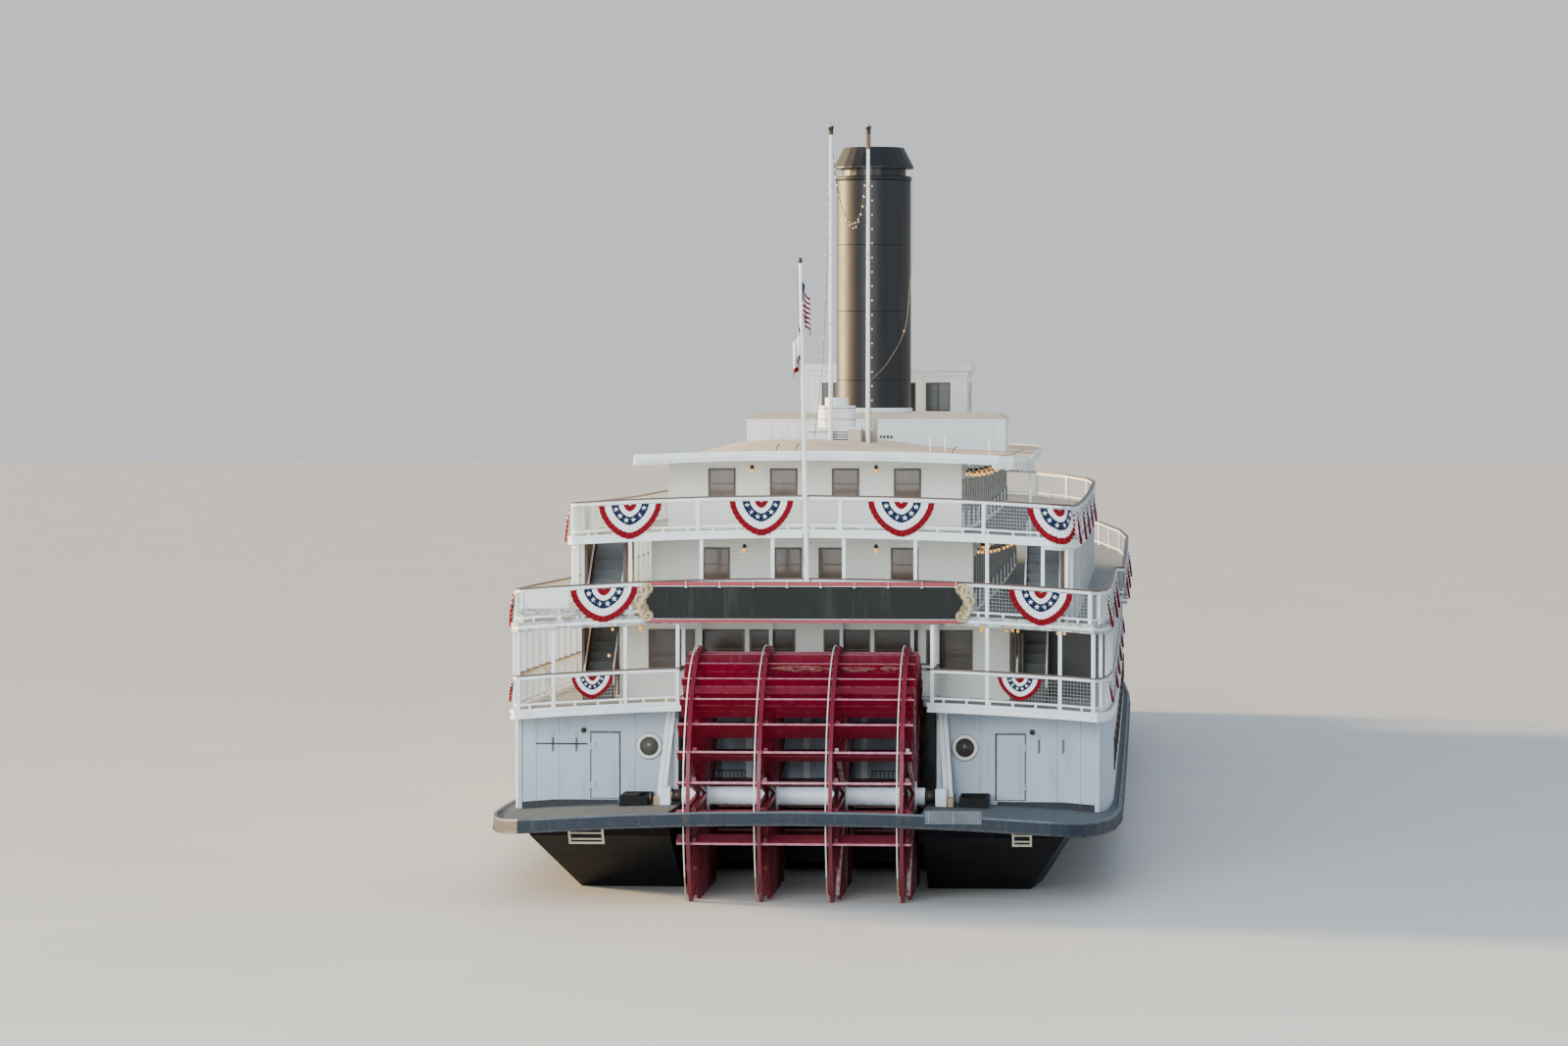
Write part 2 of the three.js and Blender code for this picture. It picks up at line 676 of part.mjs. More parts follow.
const pilotLine = outline([[PILOT.aftY, PILOT.half], [PILOT.foreY, PILOT.half]]);
const PILOT_DOOR = { aftY: 620, foreY: 700 };

/** Window and door openings of the pilothouse. */
function pilotOpenings(foot) {
  const openings = [];
  const z0 = foot + PILOT.sill;
  const z1 = foot + PILOT.head;
  for (const x of [-190, -64, 64, 190]) {
    openings.push(block(x - 45, x + 45, PILOT.aftY - 20, PILOT.aftY + 30, z0, z1));
    openings.push(block(x - 45, x + 45, PILOT.foreY - 30, PILOT.foreY + 20, z0, z1));
  }
  for (const y of [535, 755, 840]) {
    openings.push(block(-PILOT.half - 20, -PILOT.half + 30, y - 35, y + 35, z0, z1));
    openings.push(block(PILOT.half - 30, PILOT.half + 20, y - 35, y + 35, z0, z1));
  }
  for (const side of [-1, 1]) {
    const [x0, x1] = side < 0 ? [-PILOT.half - 20, -PILOT.half + 30] : [PILOT.half - 30, PILOT.half + 20];
    openings.push(block(x0, x1, PILOT_DOOR.aftY - 3, PILOT_DOOR.foreY + 3, foot + 4, foot + 212));
  }
  return openings;
}

const pilotFoot = DECK.roof.top + lift(PILOT.half, 700);

function makePilotWalls() {
  const shell = ring(pilotLine, 0, WALL)
    .intersect(layer(DECK.roof.top + SEAT, 2600))
    .intersect(prism(pilotLine, 0, PILOT.top - SEAT));
  return pilotOpenings(pilotFoot).reduce((body, opening) => body.subtract(opening), shell);
}

function makePilotDoor(side) {
  const outerX = side * PILOT.half;
  const [x0, x1] = side < 0 ? [outerX, outerX + WALL] : [outerX - WALL, outerX];
  const pinX = outerX + side * (DOOR.barrel + SEAT);
  const pinY = PILOT_DOOR.foreY + 1.5;
  const z0 = pilotFoot + 8;
  const z1 = pilotFoot + 208;
  const leaf = block(x0, x1, PILOT_DOOR.aftY, PILOT_DOOR.foreY, z0, z1);
  const pane = block(x0 - 5, x1 + 5, PILOT_DOOR.aftY + 14, PILOT_DOOR.foreY - 14, z0 + 100, z1 - 14);
  const barrels = [30, 170].map((rise) => {
    const z = z0 + rise;
    const strapX = side < 0 ? [pinX - 1.5, outerX + 1] : [outerX - 1, pinX + 1.5];
    return column(pinX, pinY, z - 9, z + 9, DOOR.barrel, DOOR.barrel, 12)
      .add(block(strapX[0], strapX[1], pinY - 16, pinY - 2.2, z - 9, z + 9))
      .add(block(pinX - 1.5, pinX + 1.5, pinY - 16, pinY, z - 9, z + 9));
  });
  return join([leaf.subtract(pane), ...barrels]);
}

// Stack, masts and poles

function makeStack() {
  const { y, radius, foot, top } = STACK;
  const wide = radius + STACK.ring;
  const barrel = column(0, y, foot, top, radius, radius, 24);
  return barrel.add(column(0, y, foot, foot + STACK.ringRise, wide, wide, 24));
}

function makeStackCap() {
  const z = STACK.top + SEAT;
  const profile = [
    [0, z], [STACK.neck, z], [STACK.neck, z + STACK.neckRise], [STACK.capFoot, z + STACK.neckRise],
    [STACK.capFoot, z + STACK.neckRise + 5], [STACK.capTop, z + STACK.capRise],
    [0, z + STACK.capRise],
  ].map(([radius, height]) => new THREE.Vector2(radius, height));
  const geometry = new THREE.LatheGeometry(profile, 24);
  geometry.rotateX(Math.PI / 2);
  geometry.translate(0, STACK.y, 0);
  return solid(geometry);
}

function makeMast(x) {
  const ball = new THREE.SphereGeometry(MAST.ball, 10, 6);
  ball.translate(x, MAST.y, MAST.top - MAST.ball);
  const pole = column(x, MAST.y, 1300, MAST.top - 12, MAST.radius, MAST.radius * 0.7, 8);
  return above(pole.add(solid(ball)), DECK.roof);
}

/** The leaning pole above the sign board, with the bracket that holds it to the texas deck. */
function makeFlagpole() {
  const { footX, topX, top, radius, tipRadius } = FLAGPOLE;
  const foot = SIGN.top + SEAT;
  const lean = (topX - footX) / (top - foot);
  const y = EDGE_AFT_Y - radius - 1;
  const geometry = new THREE.CylinderGeometry(tipRadius, radius, top - foot, 12);
  geometry.rotateX(Math.PI / 2);
  const position = geometry.attributes.position;
  for (let i = 0; i < position.count; i += 1) {
    position.setX(i, position.getX(i) + lean * (position.getZ(i) + (top - foot) / 2) + footX);
  }
  geometry.translate(0, y, (foot + top) / 2);
  const bracketX = footX + lean * (DECK.texas.top - foot);
  return solid(geometry)
    .add(block(bracketX - 9, bracketX + 9, y - 4, EDGE_AFT_Y - SEAT, 1186, 1202));
}

/** Exhaust fan on the texas roof: a plenum box, the fan's drum and its lid. */
function makeFan() {
  const y = (FAN.aftY + FAN.foreY) / 2;
  const box = block(FAN.x0, FAN.x1, FAN.aftY, FAN.foreY, 1300, FAN.top);
  const drum = column(FAN.drumX, y, FAN.top - 5, FAN.drumTop, FAN.drumRadius, FAN.drumRadius, 20);
  const lid = column(FAN.drumX, y, FAN.drumTop - 5, FAN.lidTop, FAN.lidRadius, FAN.lidRadius, 20);
  return above(join([box, drum, lid]), DECK.roof);
}

add("hull", "hull", makeHull());
add("main_deck", "guard", makeMainDeck());
add("main_house_walls", "mainWall", house(
  mainHouseLine, DECK.guard, DECK.saloon, [doorway(-1), doorway(1)],
));
add("saloon_deck", "deck", deck(saloonLine, DECK.saloon));
add("saloon_house_walls", "wall", house(saloonHouseLine, DECK.saloon, DECK.observation));
add("observation_deck", "deck", deck(observationLine, DECK.observation, lowerHatches));
add("observation_house_walls", "wall", house(observationHouseLine, DECK.observation, DECK.texas));
add("texas_deck", "deck", deck(texasLine, DECK.texas, upperHatches));
add("texas_house_walls", "wall", house(texasHouseLine, DECK.texas, DECK.roof));
add("texas_roof", "roof", deck(roofLine, DECK.roof));
add("roof_box", "wall", above(block(
  ROOF_BOX.x0, ROOF_BOX.x1, ROOF_BOX.aftY, ROOF_BOX.foreY, 1300, ROOF_BOX.top,
), DECK.roof));
add("pilothouse_walls", "wall", makePilotWalls());
add("pilothouse_roof", "roof", prism(outline([
  [PILOT.aftY - PILOT.eaves, PILOT.half + PILOT.eaves],
  [PILOT.foreY + PILOT.eaves, PILOT.half + PILOT.eaves],
]), PILOT.top, PILOT.top + PILOT.roofRise));
for (const [name, side] of [["port", -1], ["starboard", 1]]) {
  add(`wheel_bearing_${name}`, "iron", makeBearing(side));
  add(`aft_door_${name}`, "mainWall", makeBlockDoor(side));
  add(`pilothouse_door_${name}`, "wall", makePilotDoor(side));
  add(`mast_${name}`, "rail", makeMast(side * MAST.x));
  add(`observation_posts_${name}`, "rail", makePostRow(side));
}
add("stack", "black", makeStack());
add("stack_cap", "black", makeStackCap());
add("roof_fan", "wall", makeFan());
for (const stair of STAIRS) {
  add(stair.name, "brown", makeStair(stair));
}
const carriesTexas = ({ at }) => at.y < EDGE_AFT_Y + 20 && Math.abs(at.x) < 600;
addGallery("saloon_rail", gallery(
  saloonLine, DECK.saloon, DECK.observation, POST_GRID.saloon, () => true,
), SALOON_PARTS);
addGallery("observation_rail", gallery(
  observationLine, DECK.observation, DECK.texas, POST_GRID.observation, carriesTexas,
), SIDE_PARTS(1900));
addGallery("texas_rail", gallery(
  texasLine, DECK.texas, null, POST_GRID.texas, () => false,
), SIDE_PARTS(1200));
add("sign_board", "sign", block(
  -SIGN.half, SIGN.half, EDGE_AFT_Y - SIGN.thick - SEAT, EDGE_AFT_Y - SEAT, SIGN.bottom, SIGN.top,
));
add("stern_flagpole", "rail", makeFlagpole());
add("bow_jackstaff", "rail", above(column(0, 4180, DECK.guard.top, 1100, 8, 4, 12), DECK.guard));
add("paddle_wheel", "wheel", makeWheel());
for (const [name, side] of [["port", -1], ["centre", 0], ["starboard", 1]]) {
  add(`rudder_${name}`, "iron", makeRudder(side));
}

export default ship;
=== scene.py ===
"""Dresses the 1:10 stern-wheel paddle steamer for its render.

Metres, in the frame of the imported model: +X starboard, +Y to the bow, +Z up from the hull bottom.
Heights are those on the centreline at the stern, and lift() adds the decks' sheer and camber.
"""

import logging
import math
import random
from bisect import bisect_right
from dataclasses import dataclass, field
from enum import Enum

import bmesh
import bpy
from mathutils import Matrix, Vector
from mathutils.bvhtree import BVHTree


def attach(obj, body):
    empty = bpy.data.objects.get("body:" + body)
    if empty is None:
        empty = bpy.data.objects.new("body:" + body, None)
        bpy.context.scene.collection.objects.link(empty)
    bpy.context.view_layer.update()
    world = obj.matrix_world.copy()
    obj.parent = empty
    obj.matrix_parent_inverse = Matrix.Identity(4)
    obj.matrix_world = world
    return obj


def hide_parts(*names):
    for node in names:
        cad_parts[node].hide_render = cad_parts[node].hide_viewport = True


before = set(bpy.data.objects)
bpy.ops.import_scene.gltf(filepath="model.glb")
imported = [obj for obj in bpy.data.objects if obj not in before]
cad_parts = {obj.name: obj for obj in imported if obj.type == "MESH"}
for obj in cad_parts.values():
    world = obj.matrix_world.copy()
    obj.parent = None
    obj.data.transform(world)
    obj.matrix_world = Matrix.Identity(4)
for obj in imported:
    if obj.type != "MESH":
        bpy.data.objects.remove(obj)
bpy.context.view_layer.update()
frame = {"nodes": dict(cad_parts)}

log = logging.getLogger("steamer")
Colour = tuple[float, float, float]
Point = tuple[float, float, float]

SHIP = "ship"

# Places that the model and its dressing share

STERN_Y = -4.350
EDGE_AFT_Y = -3.830
WATERLINE = 0.19

RIGHT = Vector((1, 0, 0))
AHEAD = Vector((0, 1, 0))
UP = Vector((0, 0, 1))
STEEP = 0.9
BOX_FACES = [(0, 2, 3, 1), (4, 5, 7, 6), (0, 1, 5, 4), (2, 6, 7, 3), (0, 4, 6, 2), (1, 3, 7, 5)]

Range = tuple[float, float]
PlanLine = list[tuple[float, float]]
SlabRow = tuple[float, float, float, float, float, float, str]


@dataclass(frozen=True)
class Deck:
    """A deck's height on the centreline at the stern, and its thickness."""

    top: float
    thick: float

    @property
    def under(self) -> float:
        """Height of the underside."""
        return self.top - self.thick


GUARD = Deck(0.446, 0.034)
SALOON = Deck(0.730, 0.025)
OBSERVATION = Deck(0.975, 0.025)
TEXAS = Deck(1.207, 0.022)
ROOF = Deck(1.428, 0.022)


@dataclass(frozen=True)
class Sheet:
    """The grid of flat cells that gives the decks their sheer and camber."""

    width: float = 1.920
    length: float = 9.200
    strips: int = 8
    bays: int = 8
    camber_drop: float = 0.038
    guard_half: float = 0.884
    low_y: float = -0.200
    low: float = -0.045
    bow_rise: float = 0.060
    bow_y: float = 4.350

    def sheer(self, y: float) -> float:
        """Smooth sheer: the height to add at a place along the ship.

        Args:
            y: Place along the ship.

        Returns:
            The height.
        """
        aft = y < self.low_y
        end = STERN_Y if aft else self.bow_y
        rise = (0.0 if aft else self.bow_rise) - self.low
        return self.low + rise * ((y - self.low_y) / (end - self.low_y)) ** 2

    def camber(self, x: float) -> float:
        """Smooth camber: the height to add at a place across the ship, never positive."""
        return -self.camber_drop * (x / self.guard_half) ** 2

    def lift(self, x: float, y: float) -> float:
        """Sheer and camber as the flat cells have them.

        Args:
            x: Place across the ship.
            y: Place along the ship.

        Returns:
            Height to add to a deck's height.
        """
        total = 0.0
        for curve, at, size, cells in (
            (self.sheer, y, self.length, self.bays),
            (self.camber, x, self.width, self.strips),
        ):
            step = size / cells
            start = -size / 2 + math.floor((at + size / 2) / step) * step
            share = (at - start) / step
            total += curve(start) * (1 - share) + curve(start + step) * share
        return total


SHEET = Sheet()
lift = SHEET.lift


# Meshes


@dataclass(frozen=True)
class Place:
    """A local frame on a wall: u runs along it, v is up, n points out of it."""

    origin: Vector
    along: Vector
    out: Vector
    up: Vector = field(default_factory=UP.copy)

    def at(self, u: float, v: float, n: float = 0.0) -> Vector:
        """The point at u along, v up and n out."""
        return self.origin + self.along * u + self.up * v + self.out * n


def facing(x: float, y: float, z: float, heading: float) -> Place:
    """A frame on a wall.

    Args:
        x: Origin across the ship.
        y: Origin along the ship.
        z: Origin height.
        heading: Degrees from +X to the direction of u, so 0 faces aft and 90 faces starboard.

    Returns:
        The frame, with n to the right of u.
    """
    turn = math.radians(heading)
    cos, sin = math.cos(turn), math.sin(turn)
    return Place(Vector((x, y, z)), Vector((cos, sin, 0)), Vector((sin, -cos, 0)))


def beside(side: int, inner: float, outer: float) -> Range:
    """A range to one side of the centreline, in rising order."""
    return (inner, outer) if side > 0 else (-outer, -inner)


def ring(centre: Vector, first: Vector, other: Vector, radius: float, sides: int) -> list[Vector]:
    """Points of a circle."""
    turns = [2 * math.pi * side / sides for side in range(sides)]
    return [centre + (first * math.cos(turn) + other * math.sin(turn)) * radius for turn in turns]


def turned_out(points: list[Vector], faces: list[tuple[int, ...]]) -> list[tuple[int, ...]]:
    """Turns the faces of a convex body outwards.

    Args:
        points: Corners of the body.
        faces: Its faces, each by its corners.

    Returns:
        The faces, all turned outwards.
    """
    centre = sum(points, Vector()) / len(points)
    turned = []
    for face in faces:
        a, b, c = (points[index] for index in face[:3])
        outward = (b - a).cross(c - a).dot(a - centre) > 0
        turned.append(face if outward else tuple(reversed(face)))
    return turned


class Draft:
    """Points and faces of one piece, each face with a finish."""

    def __init__(self) -> None:
        """An empty draft."""
        self.points: list[Vector] = []
        self.faces: list[tuple[int, ...]] = []
        self.face_finish: list[str] = []
        self.smooth: list[bool] = []

    def add(
        self, points: list[Vector], faces: list[tuple[int, ...]], finish: str, smooth: bool = False
    ) -> None:
        """Adds points and the faces between them.

        Args:
            points: New points.
            faces: Faces as indices into points.
            finish: Key of the faces' finish.
            smooth: Whether the faces shade smoothly.
        """
        first = len(self.points)
        self.points.extend(Vector(point) for point in points)
        for face in faces:
            self.faces.append(tuple(first + index for index in face))
            self.face_finish.append(finish)
            self.smooth.append(smooth)

    def slab(
        self, place: Place, u: Range, v: Range, n: Range, finish: str, rim: str | None = None
    ) -> None:
        """A box in a local frame.

        Args:
            place: The frame.
            u: Range along.
            v: Range up.
            n: Range out.
            finish: Key of its finish.
            rim: Key for its upper face, if another one.
        """
        corners = [place.at(u[i], v[j], n[k]) for k in (0, 1) for j in (0, 1) for i in (0, 1)]
        self.add(corners, turned_out(corners, BOX_FACES), finish)
        self.face_finish[-3] = rim or finish

    def slabs(self, place: Place, *rows: SlabRow) -> None:
        """Boxes in one frame, each from its ends in u, v and n and its finish."""
        for u0, u1, v0, v1, n0, n1, finish in rows:
            self.slab(place, (u0, u1), (v0, v1), (n0, n1), finish)

    def box(self, low: Point, high: Point, finish: str) -> None:
        """An upright box between two corners."""
        place = Place(Vector(), RIGHT, AHEAD)
        self.slab(place, (low[0], high[0]), (low[2], high[2]), (low[1], high[1]), finish)

    def beam(
        self, start: Vector, end: Vector, width: float, depth: float, finish: str,
        up: Vector | None = None,
    ) -> None:
        """A straight bar of rectangular section.

        Args:
            start: Centre of one end.
            end: Centre of the other.
            width: Size across, at right angles to up.
            depth: Size along up.
            finish: Key of its finish.
            up: Direction that the depth follows most closely.
        """
        along = (end - start).normalized()
        side = along.cross(up or (UP if abs(along.z) < STEEP else AHEAD)).normalized()
        over = side.cross(along).normalized()
        corners = [
            at + side * (sx * width / 2) + over * (sy * depth / 2)
            for at in (start, end) for sy in (-1, 1) for sx in (-1, 1)
        ]
        self.add(corners, turned_out(corners, BOX_FACES), finish)

    def tube(
        self, path: list[Vector], radii: float | list[float], finish: str, sides: int = 8
    ) -> None:
        """A round bar along a path.

        Args:
            path: Points of the centreline.
            radii: One radius, or one for each point.
            finish: Key of its finish.
            sides: Facets round it.
        """
        sizes = radii if isinstance(radii, list) else [radii] * len(path)
        last = len(path) - 1
        points: list[Vector] = []
        normal: Vector | None = None
        for index, at in enumerate(path):
            along = (path[min(index + 1, last)] - path[max(index - 1, 0)]).normalized()
            if normal is None:
                normal = (UP if abs(along.z) < STEEP else RIGHT).cross(along).normalized()
            normal = (normal - along * normal.dot(along)).normalized()
            points += ring(at, normal, along.cross(normal), sizes[index], sides)
        faces = [tuple(reversed(range(sides))), tuple(range(last * sides, (last + 1) * sides))]
        for first in range(0, last * sides, sides):
            for side in range(sides):
                a, b = first + side, first + (side + 1) % sides
                faces.append((a, b, b + sides, a + sides))
        self.add(points, faces, finish, smooth=True)

    def lathe(
        self, profile: PlanLine, origin: Vector, axis: Vector, finish: str, sides: int = 24,
        smooth: bool = True,
    ) -> None:
        """A turned body, with a profile of radius and distance along the axis.

        Args:
            profile: Rows of radius and distance, from one end to the other.
            origin: Point where the distance is zero.
            axis: Direction of the axis.
            finish: Key of its finish.
            sides: Facets round it.
            smooth: Whether it shades smoothly.
        """
        along = axis.normalized()
        first = along.cross(UP if abs(along.z) < STEEP else AHEAD).normalized()
        points: list[Vector] = []
        rows: list[list[int]] = []
        for radius, distance in profile:
            centre = origin + along * distance
            made = ring(centre, first, along.cross(first), radius, sides) if radius else [centre]
            rows.append([len(points) + side % len(made) for side in range(sides)])
            points += made
        faces = []
        for low, high in zip(rows, rows[1:]):
            for side in range(sides):
                after = (side + 1) % sides
                corners = (low[side], low[after], high[after], high[side])
                faces.append(tuple(dict.fromkeys(corners)))
        faces += [tuple(rows[0][::-1]), tuple(rows[-1])]
        self.add(points, [face for face in faces if len(set(face)) > 2], finish, smooth)

    def prism(self, line: PlanLine, place: Place, n: Range, finish: str) -> None:
        """A flat outline in u and v, given a thickness.

        Args:
            line: Points in u and v, counterclockwise seen from outside.
            place: The frame.
            n: Range out.
            finish: Key of its finish.
        """
        count = len(line)
        points = [place.at(u, v, depth) for depth in n for u, v in line]
        self.add(points, [tuple(reversed(range(count))), tuple(range(count, 2 * count))], finish)
        self.add(points, [
            (i, (i + 1) % count, count + (i + 1) % count, count + i) for i in range(count)
        ], finish)

    def sheet_strip(self, rows: list[list[Vector]], finishes: list[str]) -> None:
        """A smooth skin through rows of points of equal length, with a finish for each band.

        Args:
            rows: Rows of points, all of one length.
            finishes: A key for each band between rows.
        """
        width = len(rows[0])
        faces = [(i, i + 1, width + i + 1, width + i) for i in range(width - 1)]
        for low, high, finish in zip(rows, rows[1:], finishes):
            self.add(low + high, faces, finish, smooth=True)

    def build(self, name: str, body: str = SHIP, merge: bool = True) -> bpy.types.Object:
        """Makes the Blender object and lets it ride on a body.

        Args:
            name: Name of the piece.
            body: CAD body that it moves with.
            merge: Whether points that coincide become one.

        Returns:
            The object.
        """
        mesh = bpy.data.meshes.new(name)
        mesh.from_pydata([tuple(point) for point in self.points], [], self.faces)
        keys = list(dict.fromkeys(self.face_finish))
        for key in keys:
            mesh.materials.append(PAINT_BOX[key])
        for polygon, key, smooth in zip(mesh.polygons, self.face_finish, self.smooth):
            polygon.material_index = keys.index(key)
            polygon.use_smooth = smooth
        piece = new_object(name, mesh)
        if merge:
            merge_points(mesh)
        mesh.update()
        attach(piece, body)
        log.info("%s: %d faces on %s", name, len(mesh.polygons), body)
        return piece


def merge_points(mesh: bpy.types.Mesh) -> None:
    """Makes points that coincide one.

    Args:
        mesh: The mesh.
    """
    work = bmesh.new()
    work.from_mesh(mesh)
    bmesh.ops.remove_doubles(work, verts=work.verts, dist=1e-6)
    work.to_mesh(mesh)
    work.free()


def new_object(name: str, data: bpy.types.ID) -> bpy.types.Object:
    """A new object in the scene.

    Args:
        name: Its name.
        data: Its data.

    Returns:
        The object.
    """
    made = bpy.data.objects.new(name, data)
    bpy.context.scene.collection.objects.link(made)
    return made


# Shader nodes


Inputs = dict[str | int, object]


class Tree:
    """Short ways to build one node tree."""

    def __init__(self, tree: bpy.types.NodeTree) -> None:
        """Takes an empty tree."""
        self.tree = tree
        self.column = 0

    def node(self, kind: str, inputs: Inputs | None = None, **values: object) -> bpy.types.Node:
        """A new node with its properties set and its inputs fed.

        Args:
            kind: Type of the node.
            inputs: What feeds its inputs, by name or number.
            values: Its properties.

        Returns:
            The node.
        """
        made = self.tree.nodes.new(kind)
        made.location = (self.column, 0)
        self.column += 180
        for name, value in values.items():
            setattr(made, name, value)
        for key, value in (inputs or {}).items():
            self.feed(made.inputs[key], value)
        return made

    def feed(self, socket: bpy.types.NodeSocket, value: object) -> None:
        """Links a socket or sets its value.

        Args:
            socket: An input.
            value: What feeds it, or None to leave it alone.
        """
        if isinstance(value, bpy.types.NodeSocket):
            self.tree.links.new(value, socket)
        elif value is not None:
            socket.default_value = value

    def group(self, shared: bpy.types.NodeTree, inputs: Inputs) -> bpy.types.bpy_prop_collection:
        """The outputs of a shared group, with its inputs fed."""
        return self.node("ShaderNodeGroup", inputs, node_tree=shared).outputs

    def surface(self, inputs: Inputs) -> None:
        """The Principled shader with its inputs fed, and the output."""
        shader = self.node("ShaderNodeBsdfPrincipled", inputs)
        self.node("ShaderNodeOutputMaterial", {"Surface": shader.outputs["BSDF"]})

    def math(self, operation: str, a: object, b: object = None, clamp: bool = False
             ) -> bpy.types.NodeSocket:
        """One Math node."""
        values = {"operation": operation, "use_clamp": clamp}
        return self.node("ShaderNodeMath", {0: a, 1: b}, **values).outputs[0]

    def vector(self, operation: str, a: object, b: object) -> bpy.types.bpy_prop_collection:
        """The outputs of one Vector Math node."""
        return self.node("ShaderNodeVectorMath", {0: a, 1: b}, operation=operation).outputs

    def spread(self, value: object, low: float, high: float, to_low: float = 0.0,
               to_high: float = 1.0) -> bpy.types.NodeSocket:
        """Maps a range to another, clamped."""
        inputs = dict(enumerate((value, low, high, to_low, to_high)))
        return self.node("ShaderNodeMapRange", inputs, clamp=True).outputs[0]

    def mix(self, share: object, a: object, b: object) -> bpy.types.NodeSocket:
        """Mixes two colours."""
        inputs = {0: share, 6: rgba(a), 7: rgba(b)}
        return self.node("ShaderNodeMix", inputs, data_type="RGBA").outputs[2]

    def noise(self, vector: object, scale: object, detail: float = 3.0, rough: float = 0.5
              ) -> bpy.types.NodeSocket:
        """The value of a noise texture."""
        inputs = {"Vector": vector, "Scale": scale, "Detail": detail, "Roughness": rough}
        return self.node("ShaderNodeTexNoise", inputs).outputs["Fac"]

    def object_place(self, stretch: object = (1, 1, 1)) -> bpy.types.NodeSocket:
        """Object coordinates, multiplied axis by axis."""
        place = self.node("ShaderNodeTexCoord").outputs["Object"]
        return self.vector("MULTIPLY", place, stretch)[0]


def rgba(value: object) -> object:
    """Gives a colour its alpha, and leaves a socket alone."""
    return (*value, 1.0) if isinstance(value, tuple) else value


def empty_tree(owner: bpy.types.Material | bpy.types.World) -> Tree:
    """The node tree of a material or a world, cleared.

    Args:
        owner: The material or the world.

    Returns:
        Its tree.
    """
    owner.use_nodes = True
    owner.node_tree.nodes.clear()
    return Tree(owner.node_tree)


class Effects:
    """The node groups that the finishes share, each built once."""

    def __init__(self) -> None:
        """Builds all groups."""
        self.weather = self._weather()
        self.boards = self._boards()
        self.grain = self._grain()
        self.wear = self._wear()

    @staticmethod
    def _start(name: str, inputs: dict[str, float | Point], outputs: tuple[str, ...]) -> tuple[
        bpy.types.NodeTree, Tree, bpy.types.bpy_prop_collection, bpy.types.bpy_prop_collection
    ]:
        """Makes a group with named inputs and outputs.

        Args:
            name: Its name.
            inputs: Names and first values of its inputs.
            outputs: Names of its outputs.

        Returns:
            The group, its tree, what it takes in and what it puts out.
        """
        group = bpy.data.node_groups.new(name, "ShaderNodeTree")
        for key, value in inputs.items():
            kind = "NodeSocketVector" if isinstance(value, tuple) else "NodeSocketFloat"
            socket = group.interface.new_socket(name=key, in_out="INPUT", socket_type=kind)
            socket.default_value = value
        for key in outputs:
            group.interface.new_socket(name=key, in_out="OUTPUT", socket_type="NodeSocketFloat")
        tree = Tree(group)
        return group, tree, tree.node("NodeGroupInput").outputs, tree.node("NodeGroupOutput").inputs

    def _weather(self) -> bpy.types.NodeTree:
        """Patches of uneven paint, and streaks that run down.

        Returns:
            The group.
        """
        group, tree, given, out = self._start(
            "weather", {"Patch Scale": 6.0, "Streak Scale": 60.0}, ("Patches", "Streaks"),
        )
        place = tree.object_place()
        patches = tree.noise(place, given["Patch Scale"], 5.0, 0.6)
        tree.feed(out["Patches"], tree.spread(patches, 0.3, 0.7))
        streaks = tree.noise(tree.object_place((1, 1, 0.06)), given["Streak Scale"], 2.0)
        breaks = tree.noise(place, 9.0, 2.0)
        tree.feed(out["Streaks"], tree.math(
            "MULTIPLY", tree.spread(streaks, 0.52, 0.72), tree.spread(breaks, 0.35, 0.65)))
        return group

    def _boards(self) -> bpy.types.NodeTree:
        """Boards laid side by side: the grooves between them and a tone for each board.

        Returns:
            The group.
        """
        group, tree, given, out = self._start(
            "boards", {"Direction": (0.0, 0.0, 1.0), "Pitch": 0.012, "Groove": 0.1},
            ("Groove", "Tone"),
        )
        reach = tree.vector("DOT_PRODUCT", tree.object_place(), given["Direction"])["Value"]
        along = tree.math("DIVIDE", reach, given["Pitch"])
        share = tree.math("FRACT", along)
        edge = tree.math("MINIMUM", share, tree.math("SUBTRACT", 1.0, share))
        wide = tree.math("DIVIDE", edge, given["Groove"], clamp=True)
        tree.feed(out["Groove"], tree.math("SUBTRACT", 1.0, wide, clamp=True))
        number = tree.math("FLOOR", along)
        tone = tree.node("ShaderNodeTexWhiteNoise", noise_dimensions="1D")
        tree.feed(tone.inputs["W"], number)
        tree.feed(out["Tone"], tone.outputs["Value"])
        return group

    def _grain(self) -> bpy.types.NodeTree:
        """Brushed paint over wood grain, drawn out along one axis.

        Returns:
            The group.
        """
        group, tree, given, out = self._start(
            "grain", {"Stretch": (4.0, 90.0, 90.0)}, ("Grain", "Cracks"),
        )
        place = tree.object_place(given["Stretch"])
        tree.feed(out["Grain"], tree.spread(tree.noise(place, 1.0, 6.0, 0.65), 0.3, 0.7))
        cracks = tree.noise(place, 0.6, 3.0, 0.7)
        thin = tree.math("ABSOLUTE", tree.math("SUBTRACT", cracks, 0.5))
        tree.feed(out["Cracks"], tree.spread(thin, 0.0, 0.018, 1.0, 0.0))
        return group

    def _wear(self) -> bpy.types.NodeTree:
        """Where edges are rubbed bare, broken up by noise.

        Returns:
            The group.
        """
        group, tree, given, out = self._start("wear", {"Radius": 0.003}, ("Wear",))
        bevel = tree.node("ShaderNodeBevel", {"Radius": given["Radius"]}, samples=4)
        flat = tree.node("ShaderNodeNewGeometry").outputs["Normal"]
        turn = tree.vector("DOT_PRODUCT", bevel.outputs["Normal"], flat)["Value"]
        broken = tree.spread(tree.noise(tree.object_place(), 70.0, 4.0), 0.4, 0.6)
        tree.feed(out["Wear"], tree.math("MULTIPLY", tree.spread(turn, 0.99, 0.8), broken))
        return group


